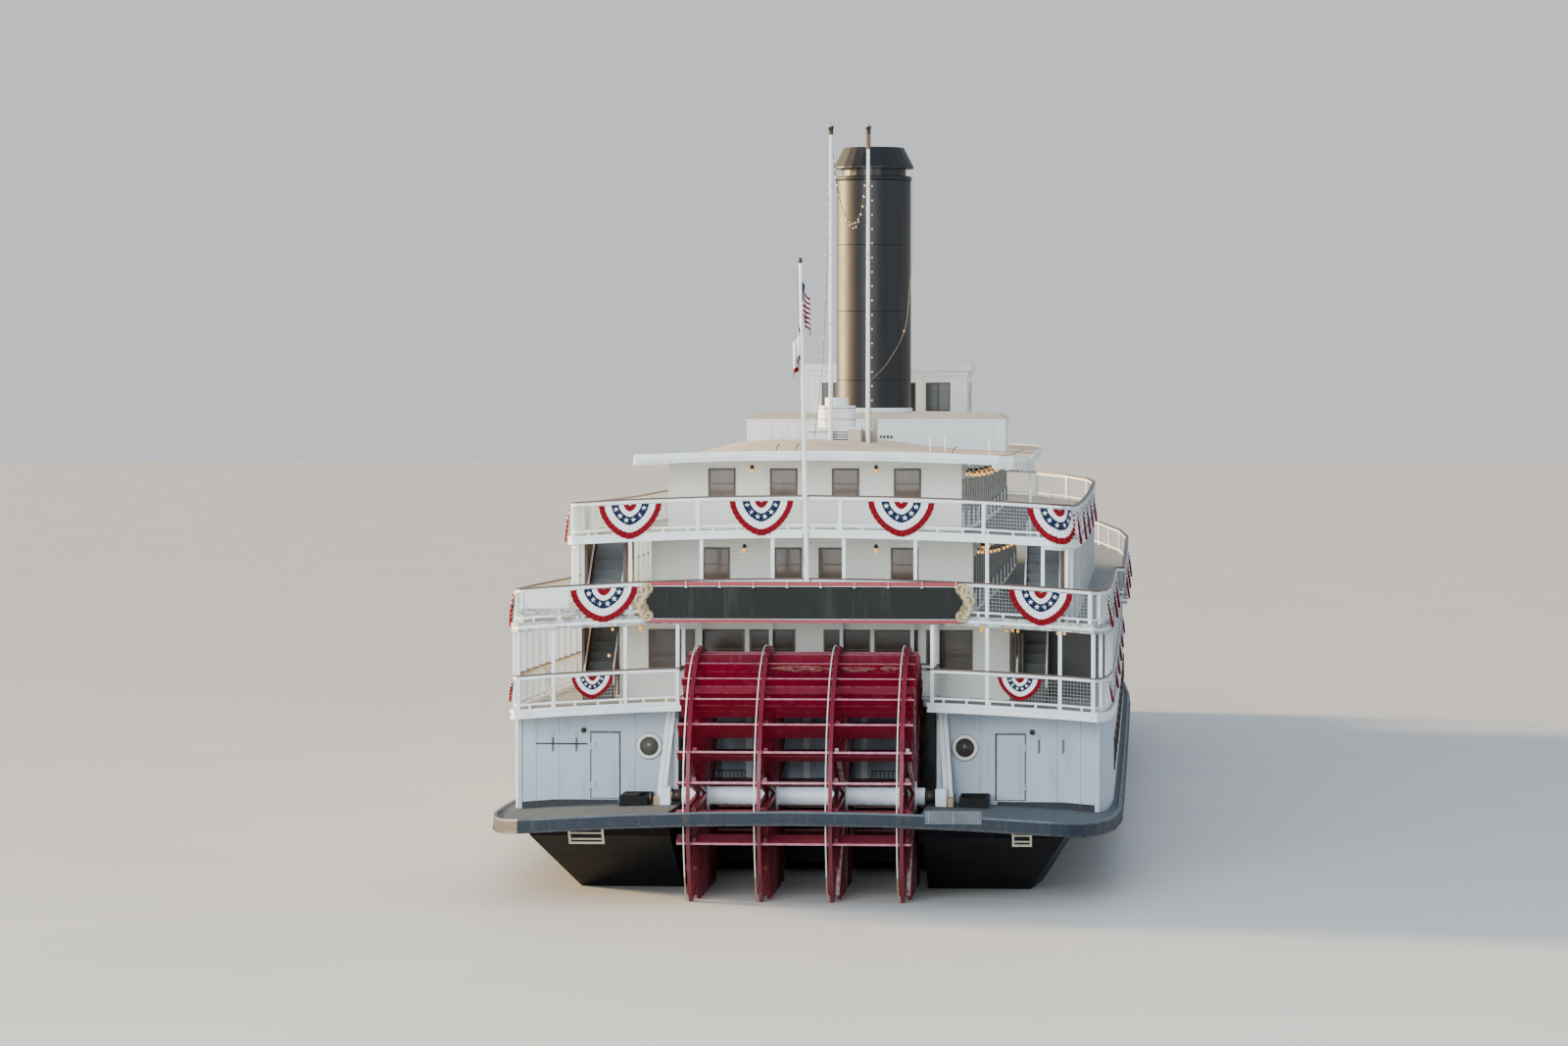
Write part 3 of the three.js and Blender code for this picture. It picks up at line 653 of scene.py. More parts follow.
class Axis(Enum):
    """Directions that boards are laid across and that grain follows."""

    ACROSS = (1.0, 0.0, 0.0)
    ALONG = (0.0, 1.0, 0.0)
    UP = (0.0, 0.0, 1.0)


@dataclass(frozen=True)
class Boards:
    """Boards or seams on a surface."""

    across: Axis
    pitch: float
    groove: float = 0.08
    tone: float = 0.08
    depth: float = 0.3


@dataclass(frozen=True)
class Finish:
    """One finish: its colours, its gloss, and what time has done to it."""

    key: str
    base: Colour
    patch: Colour
    roughness: float
    patch_scale: float
    metallic: float = 0.0
    coat: float = 0.0
    specular: float = 0.5
    patch_share: float = 0.5
    streak: Colour = (0.12, 0.09, 0.06)
    streak_share: float = 0.0
    streak_scale: float = 60.0
    grain: Point | None = None
    crack_share: float = 0.0
    crack: Colour = (0.2, 0.17, 0.13)
    boards: Boards | None = None
    wear: Colour | None = None
    wear_radius: float = 0.003
    bump: float = 0.15

    def make(self, effects: Effects) -> bpy.types.Material:
        """Builds the material.

        Args:
            effects: The shared node groups.

        Returns:
            The material.
        """
        material = bpy.data.materials.new(self.key)
        tree = empty_tree(material)
        weather = tree.group(
            effects.weather, {"Patch Scale": self.patch_scale, "Streak Scale": self.streak_scale},
        )
        patches = tree.math("MULTIPLY", weather["Patches"], self.patch_share)
        colour = tree.mix(patches, self.base, self.patch)
        height = tree.math("MULTIPLY", weather["Patches"], 0.3)
        if self.boards:
            boards = tree.group(effects.boards, {
                "Direction": self.boards.across.value, "Pitch": self.boards.pitch,
                "Groove": self.boards.groove,
            })
            tone = tree.spread(boards["Tone"], 0.0, 1.0, 0.0, self.boards.tone)
            colour = tree.mix(tone, colour, self.patch)
            dark = tree.math("MULTIPLY", boards["Groove"], self.boards.depth)
            colour = tree.mix(dark, colour, tuple(part * 0.35 for part in self.base))
            height = tree.math("SUBTRACT", height, tree.math("MULTIPLY", boards["Groove"], 1.5))
        if self.grain:
            grain = tree.group(effects.grain, {"Stretch": self.grain})
            height = tree.math("ADD", height, tree.math("MULTIPLY", grain["Grain"], 0.4))
            colour = tree.mix(tree.math("MULTIPLY", grain["Grain"], 0.25), colour, self.patch)
            if self.crack_share:
                cracks = tree.math("MULTIPLY", grain["Cracks"], self.crack_share)
                colour = tree.mix(cracks, colour, self.crack)
        if self.streak_share:
            share = tree.math("MULTIPLY", weather["Streaks"], self.streak_share)
            colour = tree.mix(share, colour, self.streak)
        if self.wear:
            wear = tree.group(effects.wear, {"Radius": self.wear_radius})
            colour = tree.mix(wear["Wear"], colour, self.wear)
        bump = {"Strength": self.bump, "Distance": 0.002, "Height": height}
        tree.surface({
            "Base Color": colour,
            "Roughness": tree.spread(
                weather["Patches"], 0.0, 1.0,
                max(0.02, self.roughness - 0.08), min(1.0, self.roughness + 0.08),
            ),
            "Metallic": self.metallic,
            "Coat Weight": self.coat,
            "Specular IOR Level": self.specular,
            "Normal": tree.node("ShaderNodeBump", bump).outputs["Normal"],
        })
        return material


@dataclass(frozen=True)
class Glow:
    """A lit lamp glass or bulb, or an unlit bulb given a faint painted glow."""

    key: str
    colour: Colour
    strength: float

    def make(self, effects: Effects) -> bpy.types.Material:
        """Builds the material, brighter where the flame shows through.

        Args:
            effects: The shared node groups.

        Returns:
            The material.
        """
        material = bpy.data.materials.new(self.key)
        tree = empty_tree(material)
        weather = tree.group(effects.weather, {"Patch Scale": 80.0})
        colour = tree.mix(weather["Patches"], self.colour, (1.0, 0.58, 0.16))
        tree.surface({
            "Base Color": colour, "Emission Color": colour, "Emission Strength": self.strength,
            "Roughness": 0.3,
        })
        return material


@dataclass(frozen=True)
class Pane:
    """Window glass over a blind or a dark room."""

    key: str
    tint: Colour
    depth: Colour

    def make(self, effects: Effects) -> bpy.types.Material:
        """Builds the material: a glossy pane whose tone drifts like a room behind it.

        Args:
            effects: The shared node groups.

        Returns:
            The material.
        """
        material = bpy.data.materials.new(self.key)
        tree = empty_tree(material)
        weather = tree.group(effects.weather, {"Patch Scale": 18.0})
        tree.surface({
            "Base Color": tree.mix(weather["Patches"], self.tint, self.depth),
            "Roughness": 0.16, "Specular IOR Level": 0.22, "Coat Weight": 0.12,
            "Coat Roughness": 0.05,
        })
        return material


FINISHES: tuple[Finish | Glow | Pane, ...] = (
    Finish("hull_black", (0.0012, 0.0015, 0.0030), (0.004, 0.005, 0.008), 0.50, 4.0, specular=0.10,
           streak=(0.05, 0.045, 0.035), streak_share=0.22, streak_scale=40.0,
           boards=Boards(Axis.ALONG, 0.62, 0.004, 0.12, 0.5), bump=0.25),
    Finish("trim_black", (0.010, 0.012, 0.018), (0.03, 0.033, 0.04), 0.5, 20.0, specular=0.3,
           wear=(0.12, 0.12, 0.12)),
    Finish("guard_slate", (0.012, 0.020, 0.033), (0.028, 0.040, 0.053), 0.6, 12.0, specular=0.2,
           streak=(0.12, 0.09, 0.06), streak_share=0.3, grain=(4.0, 60.0, 60.0), bump=0.4),
    Finish("guard_lip", (0.085, 0.11, 0.135), (0.035, 0.05, 0.068), 0.5, 20.0, patch_share=0.8,
           grain=(6.0, 60.0, 60.0)),
    Finish("deck_dark", (0.050, 0.068, 0.085), (0.10, 0.115, 0.125), 0.7, 7.0, specular=0.3,
           patch_share=0.8, boards=Boards(Axis.ACROSS, 0.0135, 0.08, 0.4, 0.5),
           grain=(60.0, 5.0, 60.0)),
    # Blue-grey paint; the base is also darker and bluer as painted shade under the saloon deck.
    Finish("main_wall", (0.40, 0.49, 0.59), (0.32, 0.39, 0.47), 0.5, 3.0, streak=(0.16, 0.15, 0.13),
           streak_share=0.35, streak_scale=34.0, wear=(0.25, 0.22, 0.18), wear_radius=0.002),
    Finish("seam", (0.24, 0.26, 0.29), (0.16, 0.16, 0.16), 0.7, 30.0),
    Finish("wall", (0.90, 0.92, 0.84), (0.82, 0.84, 0.77), 0.5, 2.5, streak=(0.5, 0.46, 0.36),
           streak_share=0.14, streak_scale=30.0, boards=Boards(Axis.UP, 0.0115, 0.12, 0.1, 0.12),
           bump=0.3),
    Finish("white", (0.80, 0.86, 0.89), (0.62, 0.68, 0.73), 0.45, 10.0, streak=(0.3, 0.25, 0.18),
           streak_share=0.25, streak_scale=80.0),
    Finish("peeling", (0.74, 0.79, 0.81), (0.13, 0.12, 0.11), 0.65, 46.0, patch_share=0.95,
           streak=(0.09, 0.08, 0.07), streak_share=0.6, grain=(9.0, 120.0, 120.0), crack_share=1.0,
           crack=(0.05, 0.045, 0.04), bump=0.5),
    Finish("wheel_bare", (0.62, 0.60, 0.60), (0.16, 0.006, 0.016), 0.6, 60.0, patch_share=1.0,
           grain=(90.0, 8.0, 8.0), bump=0.5),
    Finish("deck_grey", (0.25, 0.27, 0.28), (0.35, 0.36, 0.35), 0.75, 5.0,
           boards=Boards(Axis.ACROSS, 0.0135, 0.08, 0.25, 0.5), grain=(60.0, 5.0, 60.0)),
    Finish("deck_under", (0.70, 0.70, 0.66), (0.58, 0.58, 0.55), 0.6, 4.0,
           boards=Boards(Axis.ALONG, 0.05, 0.03, 0.1, 0.25)),
    Finish("stair_grey", (0.085, 0.10, 0.115), (0.16, 0.18, 0.19), 0.6, 18.0,
           grain=(8.0, 60.0, 60.0), wear=(0.3, 0.31, 0.31)),
    Finish("stair_dark", (0.035, 0.038, 0.038), (0.08, 0.085, 0.08), 0.6, 18.0,
           grain=(8.0, 60.0, 60.0), wear=(0.22, 0.22, 0.2)),
    Finish("stair_side", (0.075, 0.030, 0.018), (0.13, 0.06, 0.035), 0.5, 20.0,
           grain=(30.0, 6.0, 30.0)),
    Finish("roof_canvas", (0.72, 0.60, 0.46), (0.56, 0.45, 0.34), 0.8, 5.0, patch_share=0.7,
           streak=(0.35, 0.28, 0.2), streak_share=0.3,
           boards=Boards(Axis.ALONG, 0.09, 0.03, 0.2, 0.3)),
    Finish("canvas_pale", (0.72, 0.74, 0.70), (0.58, 0.60, 0.58), 0.8, 25.0,
           grain=(120.0, 120.0, 120.0), bump=0.3),
    Finish("trim_brown", (0.045, 0.022, 0.014), (0.085, 0.045, 0.03), 0.45, 20.0,
           grain=(30.0, 30.0, 6.0), wear=(0.16, 0.1, 0.07), wear_radius=0.0015),
    Finish("screen_brown", (0.06, 0.045, 0.035), (0.12, 0.09, 0.07), 0.6, 20.0,
           boards=Boards(Axis.UP, 0.006, 0.3, 0.2, 0.6)),
    Finish("wheel_red", (0.185, 0.0010, 0.019), (0.100, 0.0010, 0.010), 0.36, 7.0, specular=0.3,
           patch_share=0.7, grain=(3.0, 80.0, 80.0), streak=(0.30, 0.09, 0.13), streak_share=0.2,
           wear=(0.42, 0.14, 0.19), wear_radius=0.0018, bump=0.45),
    Finish("wheel_faded", (0.29, 0.032, 0.070), (0.20, 0.008, 0.03), 0.5, 16.0, patch_share=0.8,
           grain=(3.0, 80.0, 80.0), crack_share=0.4, crack=(0.07, 0.008, 0.015),
           wear=(0.45, 0.22, 0.26)),
    Finish("wheel_edge", (0.56, 0.27, 0.35), (0.30, 0.035, 0.085), 0.5, 60.0, patch_share=0.8,
           grain=(4.0, 90.0, 90.0)),
    Finish("wheel_dark", (0.085, 0.003, 0.010), (0.15, 0.010, 0.024), 0.6, 14.0,
           grain=(80.0, 6.0, 6.0), streak_share=0.4, wear=(0.20, 0.05, 0.06), wear_radius=0.0015),
    Finish("wheel_torn", (0.10, 0.045, 0.03), (0.30, 0.10, 0.08), 0.85, 70.0, patch_share=0.9,
           grain=(6.0, 90.0, 90.0), crack_share=0.7, bump=0.6),
    Finish("hoop_white", (0.82, 0.83, 0.84), (0.6, 0.54, 0.5), 0.35, 40.0, patch_share=0.5),
    Finish("hoop_rust", (0.27, 0.13, 0.055), (0.45, 0.3, 0.17), 0.85, 60.0, patch_share=0.9,
           bump=0.6),
    Finish("shaft_white", (0.76, 0.84, 0.92), (0.55, 0.58, 0.62), 0.38, 14.0,
           streak=(0.3, 0.16, 0.08), streak_share=0.4, streak_scale=50.0, coat=0.2),
    Finish("iron_dark", (0.035, 0.036, 0.038), (0.09, 0.06, 0.04), 0.5, 30.0, metallic=0.6,
           bump=0.4),
    # Black paint on the hatch coamings, and painted shade behind the hull vents' slats.
    Finish("black_and_painted_shade", (0.008, 0.008, 0.009), (0.02, 0.02, 0.02), 0.8, 20.0, specular=0.2),
    Finish("packing_tan", (0.42, 0.31, 0.20), (0.25, 0.17, 0.1), 0.85, 40.0,
           grain=(60.0, 60.0, 60.0)),
    Finish("timber_raw", (0.16, 0.10, 0.065), (0.09, 0.055, 0.035), 0.8, 30.0,
           grain=(60.0, 60.0, 6.0), crack_share=0.6),
    Finish("stack_black", (0.0020, 0.0034, 0.0060), (0.006, 0.008, 0.011), 0.46, 3.0, specular=0.45,
           streak=(0.10, 0.09, 0.08), streak_share=0.25, streak_scale=26.0),
    Finish("sign_green", (0.0085, 0.0100, 0.0100), (0.020, 0.022, 0.021), 0.6, 8.0, specular=0.18,
           streak=(0.08, 0.085, 0.085), streak_share=0.25),
    Finish("sign_red", (0.30, 0.004, 0.016), (0.34, 0.07, 0.08), 0.5, 30.0, patch_share=0.4),
    Finish("scroll_gold", (0.50, 0.41, 0.25), (0.30, 0.24, 0.13), 0.45, 30.0,
           wear=(0.75, 0.68, 0.48)),
    Finish("scroll_shade", (0.22, 0.17, 0.09), (0.13, 0.10, 0.05), 0.6, 30.0),
    Finish("plate_white", (0.70, 0.72, 0.71), (0.56, 0.56, 0.54), 0.4, 40.0,
           streak=(0.25, 0.15, 0.08), streak_share=0.5),
    Finish("vent_cream", (0.62, 0.58, 0.46), (0.44, 0.40, 0.30), 0.6, 30.0,
           streak=(0.2, 0.12, 0.06), streak_share=0.5),
    Finish("zinc", (0.45, 0.46, 0.47), (0.32, 0.32, 0.32), 0.35, 25.0, metallic=0.85,
           streak_share=0.2),
    Finish("box_beige", (0.62, 0.55, 0.45), (0.48, 0.42, 0.34), 0.6, 25.0, streak_share=0.3),
    Finish("wire", (0.62, 0.66, 0.69), (0.45, 0.48, 0.50), 0.5, 60.0),
    Finish("cloth_red", (0.21, 0.002, 0.011), (0.15, 0.002, 0.008), 0.8, 60.0, specular=0.2,
           grain=(150.0, 150.0, 150.0), bump=0.3),
    Finish("cloth_white", (0.84, 0.86, 0.90), (0.66, 0.70, 0.76), 0.8, 50.0, specular=0.2,
           grain=(150.0, 150.0, 150.0), bump=0.3),
    Finish("cloth_blue", (0.008, 0.020, 0.062), (0.005, 0.012, 0.040), 0.8, 50.0, specular=0.2,
           grain=(150.0, 150.0, 150.0), bump=0.3),
    Finish("cable_black", (0.02, 0.02, 0.02), (0.04, 0.04, 0.04), 0.6, 40.0),
    Finish("rope_tan", (0.30, 0.24, 0.16), (0.18, 0.14, 0.1), 0.9, 90.0),
    # Painted shade: the near-black panels that stand for the dark lobby.
    Finish("lobby_painted_shade", (0.018, 0.018, 0.018), (0.05, 0.045, 0.04), 0.4, 10.0,
           grain=(60.0, 60.0, 5.0)),
    Finish("brass", (0.62, 0.42, 0.12), (0.4, 0.26, 0.08), 0.3, 30.0, metallic=0.9),
    Pane("pane_blind", (0.150, 0.100, 0.068), (0.080, 0.054, 0.038)),
    Pane("pane_dusk", (0.070, 0.050, 0.038), (0.030, 0.023, 0.019)),
    Pane("pane_olive", (0.060, 0.070, 0.052), (0.085, 0.090, 0.070)),
    Pane("pane_dark", (0.03, 0.028, 0.027), (0.07, 0.06, 0.05)),
    Pane("pane_green", (0.045, 0.06, 0.055), (0.02, 0.028, 0.026)),
    Glow("lamp_glow", (1.0, 0.36, 0.02), 1.2),
    Glow("bulb_glow", (1.0, 0.42, 0.03), 1.1),
    # Unlit mast bulbs: their emission is a painted glow, not a lamp.
    Glow("bulb_painted_glow", (0.95, 0.9, 0.78), 0.35),
)

PAINT_BOX: dict[str, bpy.types.Material] = {}


# Plan lines of the decks, as the model has them

def outline(rows: PlanLine, port_rows: PlanLine | None = None) -> PlanLine:
    """A closed plan line.

    Args:
        rows: Rows of y and half breadth to starboard, from aft to fore.
        port_rows: Those to port, where they differ.

    Returns:
        Points of x and y, counterclockwise from above.
    """
    starboard = [(half, y) for y, half in rows]
    port = [(-half, y) for y, half in port_rows or rows]
    return starboard + port[::-1]


def breadth(rows: PlanLine, y: float) -> float:
    """Half breadth at a place along the ship.

    Args:
        rows: Rows of place along the ship and half breadth, aft to fore.
        y: Place along the ship.

    Returns:
        The half breadth.
    """
    for (y0, half0), (y1, half1) in zip(rows, rows[1:]):
        if y0 <= y <= y1:
            return half0 + (half1 - half0) * (y - y0) / max(1e-9, y1 - y0)
    return rows[0][1] if y < rows[0][0] else rows[-1][1]


def front(y0: float, y1: float, half0: float, half1: float, steps: int) -> PlanLine:
    """Rows of a deck's rounded front, along a quarter of an ellipse.

    Args:
        y0: Where it starts along the ship.
        y1: Where it ends.
        half0: Half breadth at its start.
        half1: Half breadth at its end.
        steps: How many pieces it has.

    Returns:
        Rows of place along the ship and half breadth.
    """
    turns = [step / steps * math.pi / 2 for step in range(steps, -1, -1)]
    return [
        (y1 + (y0 - y1) * (1 - math.cos(turn)), half1 + (half0 - half1) * math.sin(turn))
        for turn in turns
    ]


def inset(line: PlanLine, distance: float) -> PlanLine:
    """A plan line moved in by a distance, with mitred corners.

    Args:
        line: The plan line.
        distance: How far it moves in.

    Returns:
        The new line.
    """
    count = len(line)
    normals = []
    for index in range(count):
        along = (Vector(line[(index + 1) % count]) - Vector(line[index])).normalized()
        normals.append(Vector((-along.y, along.x)))
    moved = []
    for index in range(count):
        middle = normals[index - 1] + normals[index]
        moved.append(tuple(Vector(line[index]) + middle * (2 * distance / middle.length_squared)))
    return moved


def divided(line: PlanLine, step: float = 0.1, closed: bool = True) -> PlanLine:
    """A plan line with points no further apart than a step.

    Args:
        line: The plan line.
        step: Length of the longest piece.
        closed: Whether the last point joins the first.

    Returns:
        The finer line.
    """
    points: PlanLine = []
    ends = line[1:] + line[:1] if closed else line[1:]
    for start, end in zip(line, ends):
        pieces = max(1, math.ceil(math.dist(start, end) / step))
        for index in range(pieces):
            share = index / pieces
            points.append((
                start[0] + (end[0] - start[0]) * share, start[1] + (end[1] - start[1]) * share,
            ))
    if not closed:
        points.append(line[-1])
    return points


GUARD_LINE = outline([
    (STERN_Y, 0.700), (-4.335, 0.745), (-4.285, 0.788), (-4.190, 0.820), (-4.060, 0.846),
    (-3.880, 0.868), (-3.500, 0.884), *front(1.900, 4.350, 0.884, 0.060, 7),
])
SALOON_LINE = outline([
    (-3.480, 0.345), (EDGE_AFT_Y, 0.345), (EDGE_AFT_Y, 0.816), (-3.740, 0.838),
    (-3.550, 0.853), (-3.200, 0.862), *front(1.900, 3.650, 0.862, 0.270, 5),
])
OBSERVATION_LINE = outline([
    (EDGE_AFT_Y, 0.806), (-3.760, 0.832), (-3.560, 0.848), (-3.200, 0.856), (-0.950, 0.856),
    (-0.930, 0.884), *front(1.900, 3.450, 0.884, 0.270, 5),
])
TEXAS_FRONT = front(1.200, 1.900, 0.762, 0.380, 4)
TEXAS_LINE = outline(
    [(EDGE_AFT_Y, 0.690), (-3.815, 0.722), (-3.775, 0.745), (-3.690, 0.757), (-3.300, 0.762),
     *TEXAS_FRONT],
    [(EDGE_AFT_Y, 0.652), (-3.780, 0.668), (-3.550, 0.695), (-3.100, 0.735), (-2.700, 0.750),
     *TEXAS_FRONT],
)
ROOF_FRONT = front(0.900, 1.250, 0.560, 0.300, 3)
ROOF_STARBOARD = [
    (-3.630, 0.532), (-3.600, 0.575), (-3.530, 0.605), (-3.400, 0.627), (-2.600, 0.600),
    (-1.500, 0.575), *ROOF_FRONT,
]
ROOF_PORT = [(-3.630, 0.493), (-3.300, 0.530), (-2.600, 0.556), *ROOF_FRONT]
ROOF_LINE = outline(ROOF_STARBOARD, ROOF_PORT)


class RailPath:
    """A closed plan line that cloth and bulbs follow, by distance from its first point."""

    SOFTEN = 0.008

    def __init__(self, line: PlanLine) -> None:
        """Measures the line.

        Args:
            line: The plan line.
        """
        self.points = [Vector(at) for at in [*line, line[0]]]
        self.marks = [0.0]
        for start, end in zip(self.points, self.points[1:]):
            self.marks.append(self.marks[-1] + (end - start).length)

    def spot(self, distance: float) -> Vector:
        """The point of the line at a distance.

        Args:
            distance: Distance along the line.

        Returns:
            The point.
        """
        left = distance % self.marks[-1]
        edge = min(bisect_right(self.marks, left), len(self.marks) - 1) - 1
        share = (left - self.marks[edge]) / (self.marks[edge + 1] - self.marks[edge])
        return self.points[edge].lerp(self.points[edge + 1], share)

    def frame(self, distance: float, z: float) -> Place:
        """A wall frame at a distance, turned gradually where the line bends.

        Args:
            distance: Distance along the line.
            z: Height of its origin.

        Returns:
            The frame.
        """
        before, after = self.spot(distance - self.SOFTEN), self.spot(distance + self.SOFTEN)
        along = (after - before).normalized()
        at = self.spot(distance)
        return Place(Vector((at.x, at.y, z)), Vector((along.x, along.y, 0)),
                     Vector((along.y, -along.x, 0)))

    def nearest(self, x: float, y: float) -> float:
        """Distance of the place on the line that is nearest to a point.

        Args:
            x: Place across the ship.
            y: Place along the ship.

        Returns:
            The distance along the line.
        """
        target = Vector((x, y))
        best = (math.inf, 0.0)
        for start, end, mark in zip(self.points, self.points[1:], self.marks):
            along = end - start
            share = min(1.0, max(0.0, (target - start).dot(along) / along.length_squared))
            reach = (start + along * share - target).length
            best = min(best, (reach, mark + share * along.length))
        return best[1]


def band(
    draft: Draft, line: PlanLine, half: float, low: float, high: float, finish: str,
    closed: bool = True,
) -> None:
    """A bar of rectangular section that follows a plan line and the decks' lift.

    Args:
        draft: Where it goes.
        line: Its centreline in plan.
        half: Half its width.
        low: Height of its underside at zero lift.
        high: Height of its top at zero lift.
        finish: Key of its finish.
        closed: Whether the line is closed.
    """
    count = len(line)
    points = []
    for index, at in enumerate(line):
        before = line[index - 1] if closed or index else at
        after = line[(index + 1) % count] if closed or index < count - 1 else at
        first = (Vector(at) - Vector(before)).normalized()
        second = (Vector(after) - Vector(at)).normalized()
        middle = Vector((-first.y - second.y, first.x + second.x))
        side = middle * (2 * half / max(1e-9, middle.length_squared))
        if not closed and index in (0, count - 1):
            side = middle.normalized() * half
        rise = lift(*at)
        for sign, height in ((-1, low), (-1, high), (1, high), (1, low)):
            points.append(Vector((at[0] + side.x * sign, at[1] + side.y * sign, height + rise)))
    faces = []
    for index in range(count if closed else count - 1):
        a = index * 4
        b = (index + 1) % count * 4
        for corner in range(4):
            nxt = (corner + 1) % 4
            faces.append((a + nxt, a + corner, b + corner, b + nxt))
    if not closed:
        faces.append((3, 2, 1, 0))
        faces.append(tuple(range((count - 1) * 4, count * 4)))
    draft.add(points, faces, finish)


# The stage


@dataclass(frozen=True)
class Studio:
    """Camera, lights, floor and sky of the picture."""

    camera_at: Point = (0.967, -17.71, 1.587)
    camera_pitch: float = 88.47
    camera_turn: float = 4.22
    lens: float = 114.35
    floor_half: float = 80.0
    sun_way: Point = (0.92, -0.34, -0.17)
    soft_boxes: tuple[tuple[str, Point, Point, float, float, Colour], ...] = (
        ("key", (-3.0, -15.5, 4.2), (0, -3.0, 1.0), 7.5, 1800, (0.92, 0.98, 1.0)),
        ("side", (11.0, -6.0, 5.0), (0, -2.0, 1.0), 7.0, 200, (0.86, 0.93, 1.0)),
        ("glow", (-12.0, -2.5, 3.0), (0, -0.5, 1.4), 6.0, 420, (1.0, 0.72, 0.38)),
    )

    def set_camera(self) -> None:
        """Puts the camera where the photo was taken from."""
        data = bpy.data.cameras.new("camera")
        data.lens = self.lens
        data.sensor_width = 36.0
        data.clip_end = 200.0
        camera = new_object("camera", data)
        camera.location = self.camera_at
        camera.rotation_euler = (math.radians(self.camera_pitch), 0, math.radians(self.camera_turn))
        bpy.context.scene.camera = camera

    def build(self) -> None:
        """Adds floor, sky and lights."""
        self._floor()
        self._sky()
        for name, at, target, size, power, colour in self.soft_boxes:
            lamp = self._light(name, "AREA", power, colour, Vector(target) - Vector(at))
            lamp.location = at
            lamp.data.size = size
        sun = self._light("evening", "SUN", 14.0, (1.0, 0.70, 0.36), Vector(self.sun_way))
        sun.data.angle = math.radians(9)

    def _floor(self) -> None:
        """A pale floor at the waterline."""
        mesh = bpy.data.meshes.new("floor")
        far = self.floor_half
        corners = [(x * far, y * far, WATERLINE) for x, y in ((-1, -1), (1, -1), (1, 1), (-1, 1))]
        mesh.from_pydata(corners, [], [(0, 1, 2, 3)])
        material = bpy.data.materials.new("floor")
        tree = empty_tree(material)
        tone = tree.spread(tree.noise(tree.object_place(), 1.5), 0.3, 0.7)
        colour = tree.mix(tone, (0.60, 0.61, 0.61), (0.64, 0.64, 0.63))
        tree.surface({"Base Color": colour, "Roughness": 0.55})
        mesh.materials.append(material)
        new_object("floor", mesh)

    @staticmethod
    def _sky() -> None:
        """Soft light from all round, brighter overhead."""
        world = bpy.data.worlds.new("sky")
        tree = empty_tree(world)
        place = tree.node("ShaderNodeTexCoord").outputs["Generated"]
        height = tree.node("ShaderNodeSeparateXYZ", {0: place}).outputs["Z"]
        share = tree.spread(height, -0.1, 0.5)
        colour = tree.mix(share, (0.92, 0.94, 0.93), (0.74, 0.85, 0.98))
        background = tree.node("ShaderNodeBackground", {"Color": colour, "Strength": 0.84})
        tree.node("ShaderNodeOutputWorld", {"Surface": background.outputs["Background"]})
        bpy.context.scene.world = world

    @staticmethod
    def _light(name: str, kind: str, power: float, colour: Colour, way: Vector
               ) -> bpy.types.Object:
        """A light that shines in a direction.

        Args:
            name: Its name.
            kind: Its type.
            power: Its strength.
            colour: Its colour.
            way: Direction that it shines in.

        Returns:
            The light.
        """
        data = bpy.data.lights.new(name, kind)
        data.energy = power
        data.color = colour
        lamp = new_object(name, data)
        lamp.rotation_euler = way.to_track_quat("-Z", "Y").to_euler()
        return lamp


# Finishes of the model's own pieces


@dataclass(frozen=True)
class Sides:
    """Finishes of a piece's faces by the way that they look."""

    top: str
    under: str
    side: str
    aft: str | None = None

    def of(self, normal: Vector) -> str:
        """The finish for a face's direction.

        Args:
            normal: Direction of the face.

        Returns:
            Key of the finish.
        """
        if normal.z > 0.6:
            return self.top
        if normal.z < -0.6:
            return self.under
        return self.aft if self.aft and normal.y < -0.6 else self.side

    @property
    def keys(self) -> list[str]:
        """All finishes in use."""
        return list(dict.fromkeys(
            key for key in (self.top, self.under, self.side, self.aft) if key))


class Skins:
    """Gives the model's pieces their materials, face by face where a piece has more than one."""

    PLAIN: dict[str, tuple[str, ...]] = {
        "hull_black": ("hull", "rudder_port", "rudder_centre", "rudder_starboard"),
        "main_wall": ("main_house_walls", "aft_door_port", "aft_door_starboard"),
        "wall": ("saloon_house_walls", "observation_house_walls", "texas_house_walls"),
        "shaft_white": ("wheel_bearing_port", "wheel_bearing_starboard"),
        "stack_black": ("stack", "stack_cap"),
        "sign_green": ("sign_board",),
        "wheel_red": ("paddle_wheel",),
    }
    SIDED: dict[tuple[str, ...], Sides] = {
        ("main_deck",): Sides("deck_dark", "hull_black", "guard_slate"),
        ("saloon_deck", "observation_deck", "texas_deck"):
            Sides("deck_grey", "deck_under", "white"),
        ("texas_roof", "pilothouse_roof"): Sides("roof_canvas", "deck_under", "white"),
        ("lower_stair_port", "lower_stair_starboard"):
            Sides("stair_dark", "stair_side", "stair_side", "stair_dark"),
        ("upper_stair_port", "upper_stair_starboard"):
            Sides("stair_grey", "stair_side", "stair_side", "stair_grey"),
    }
    ROUND = ("stack", "mast_port", "mast_starboard", "stern_flagpole", "bow_jackstaff")

    def apply(self) -> None:
        """Sets the materials of all nodes."""
        for name, node in frame["nodes"].items():
            plain = next((key for key, names in self.PLAIN.items() if name in names), "white")
            sided = (sides for names, sides in self.SIDED.items() if name in names)
            sides = next(sided, Sides(plain, plain, plain))
            mesh = node.data
            mesh.materials.clear()
            for key in sides.keys:
                mesh.materials.append(PAINT_BOX[key])
            for polygon in mesh.polygons:
                polygon.use_smooth = name in self.ROUND and abs(polygon.normal.z) < 0.5
                polygon.material_index = sides.keys.index(sides.of(polygon.normal))


# Galleries


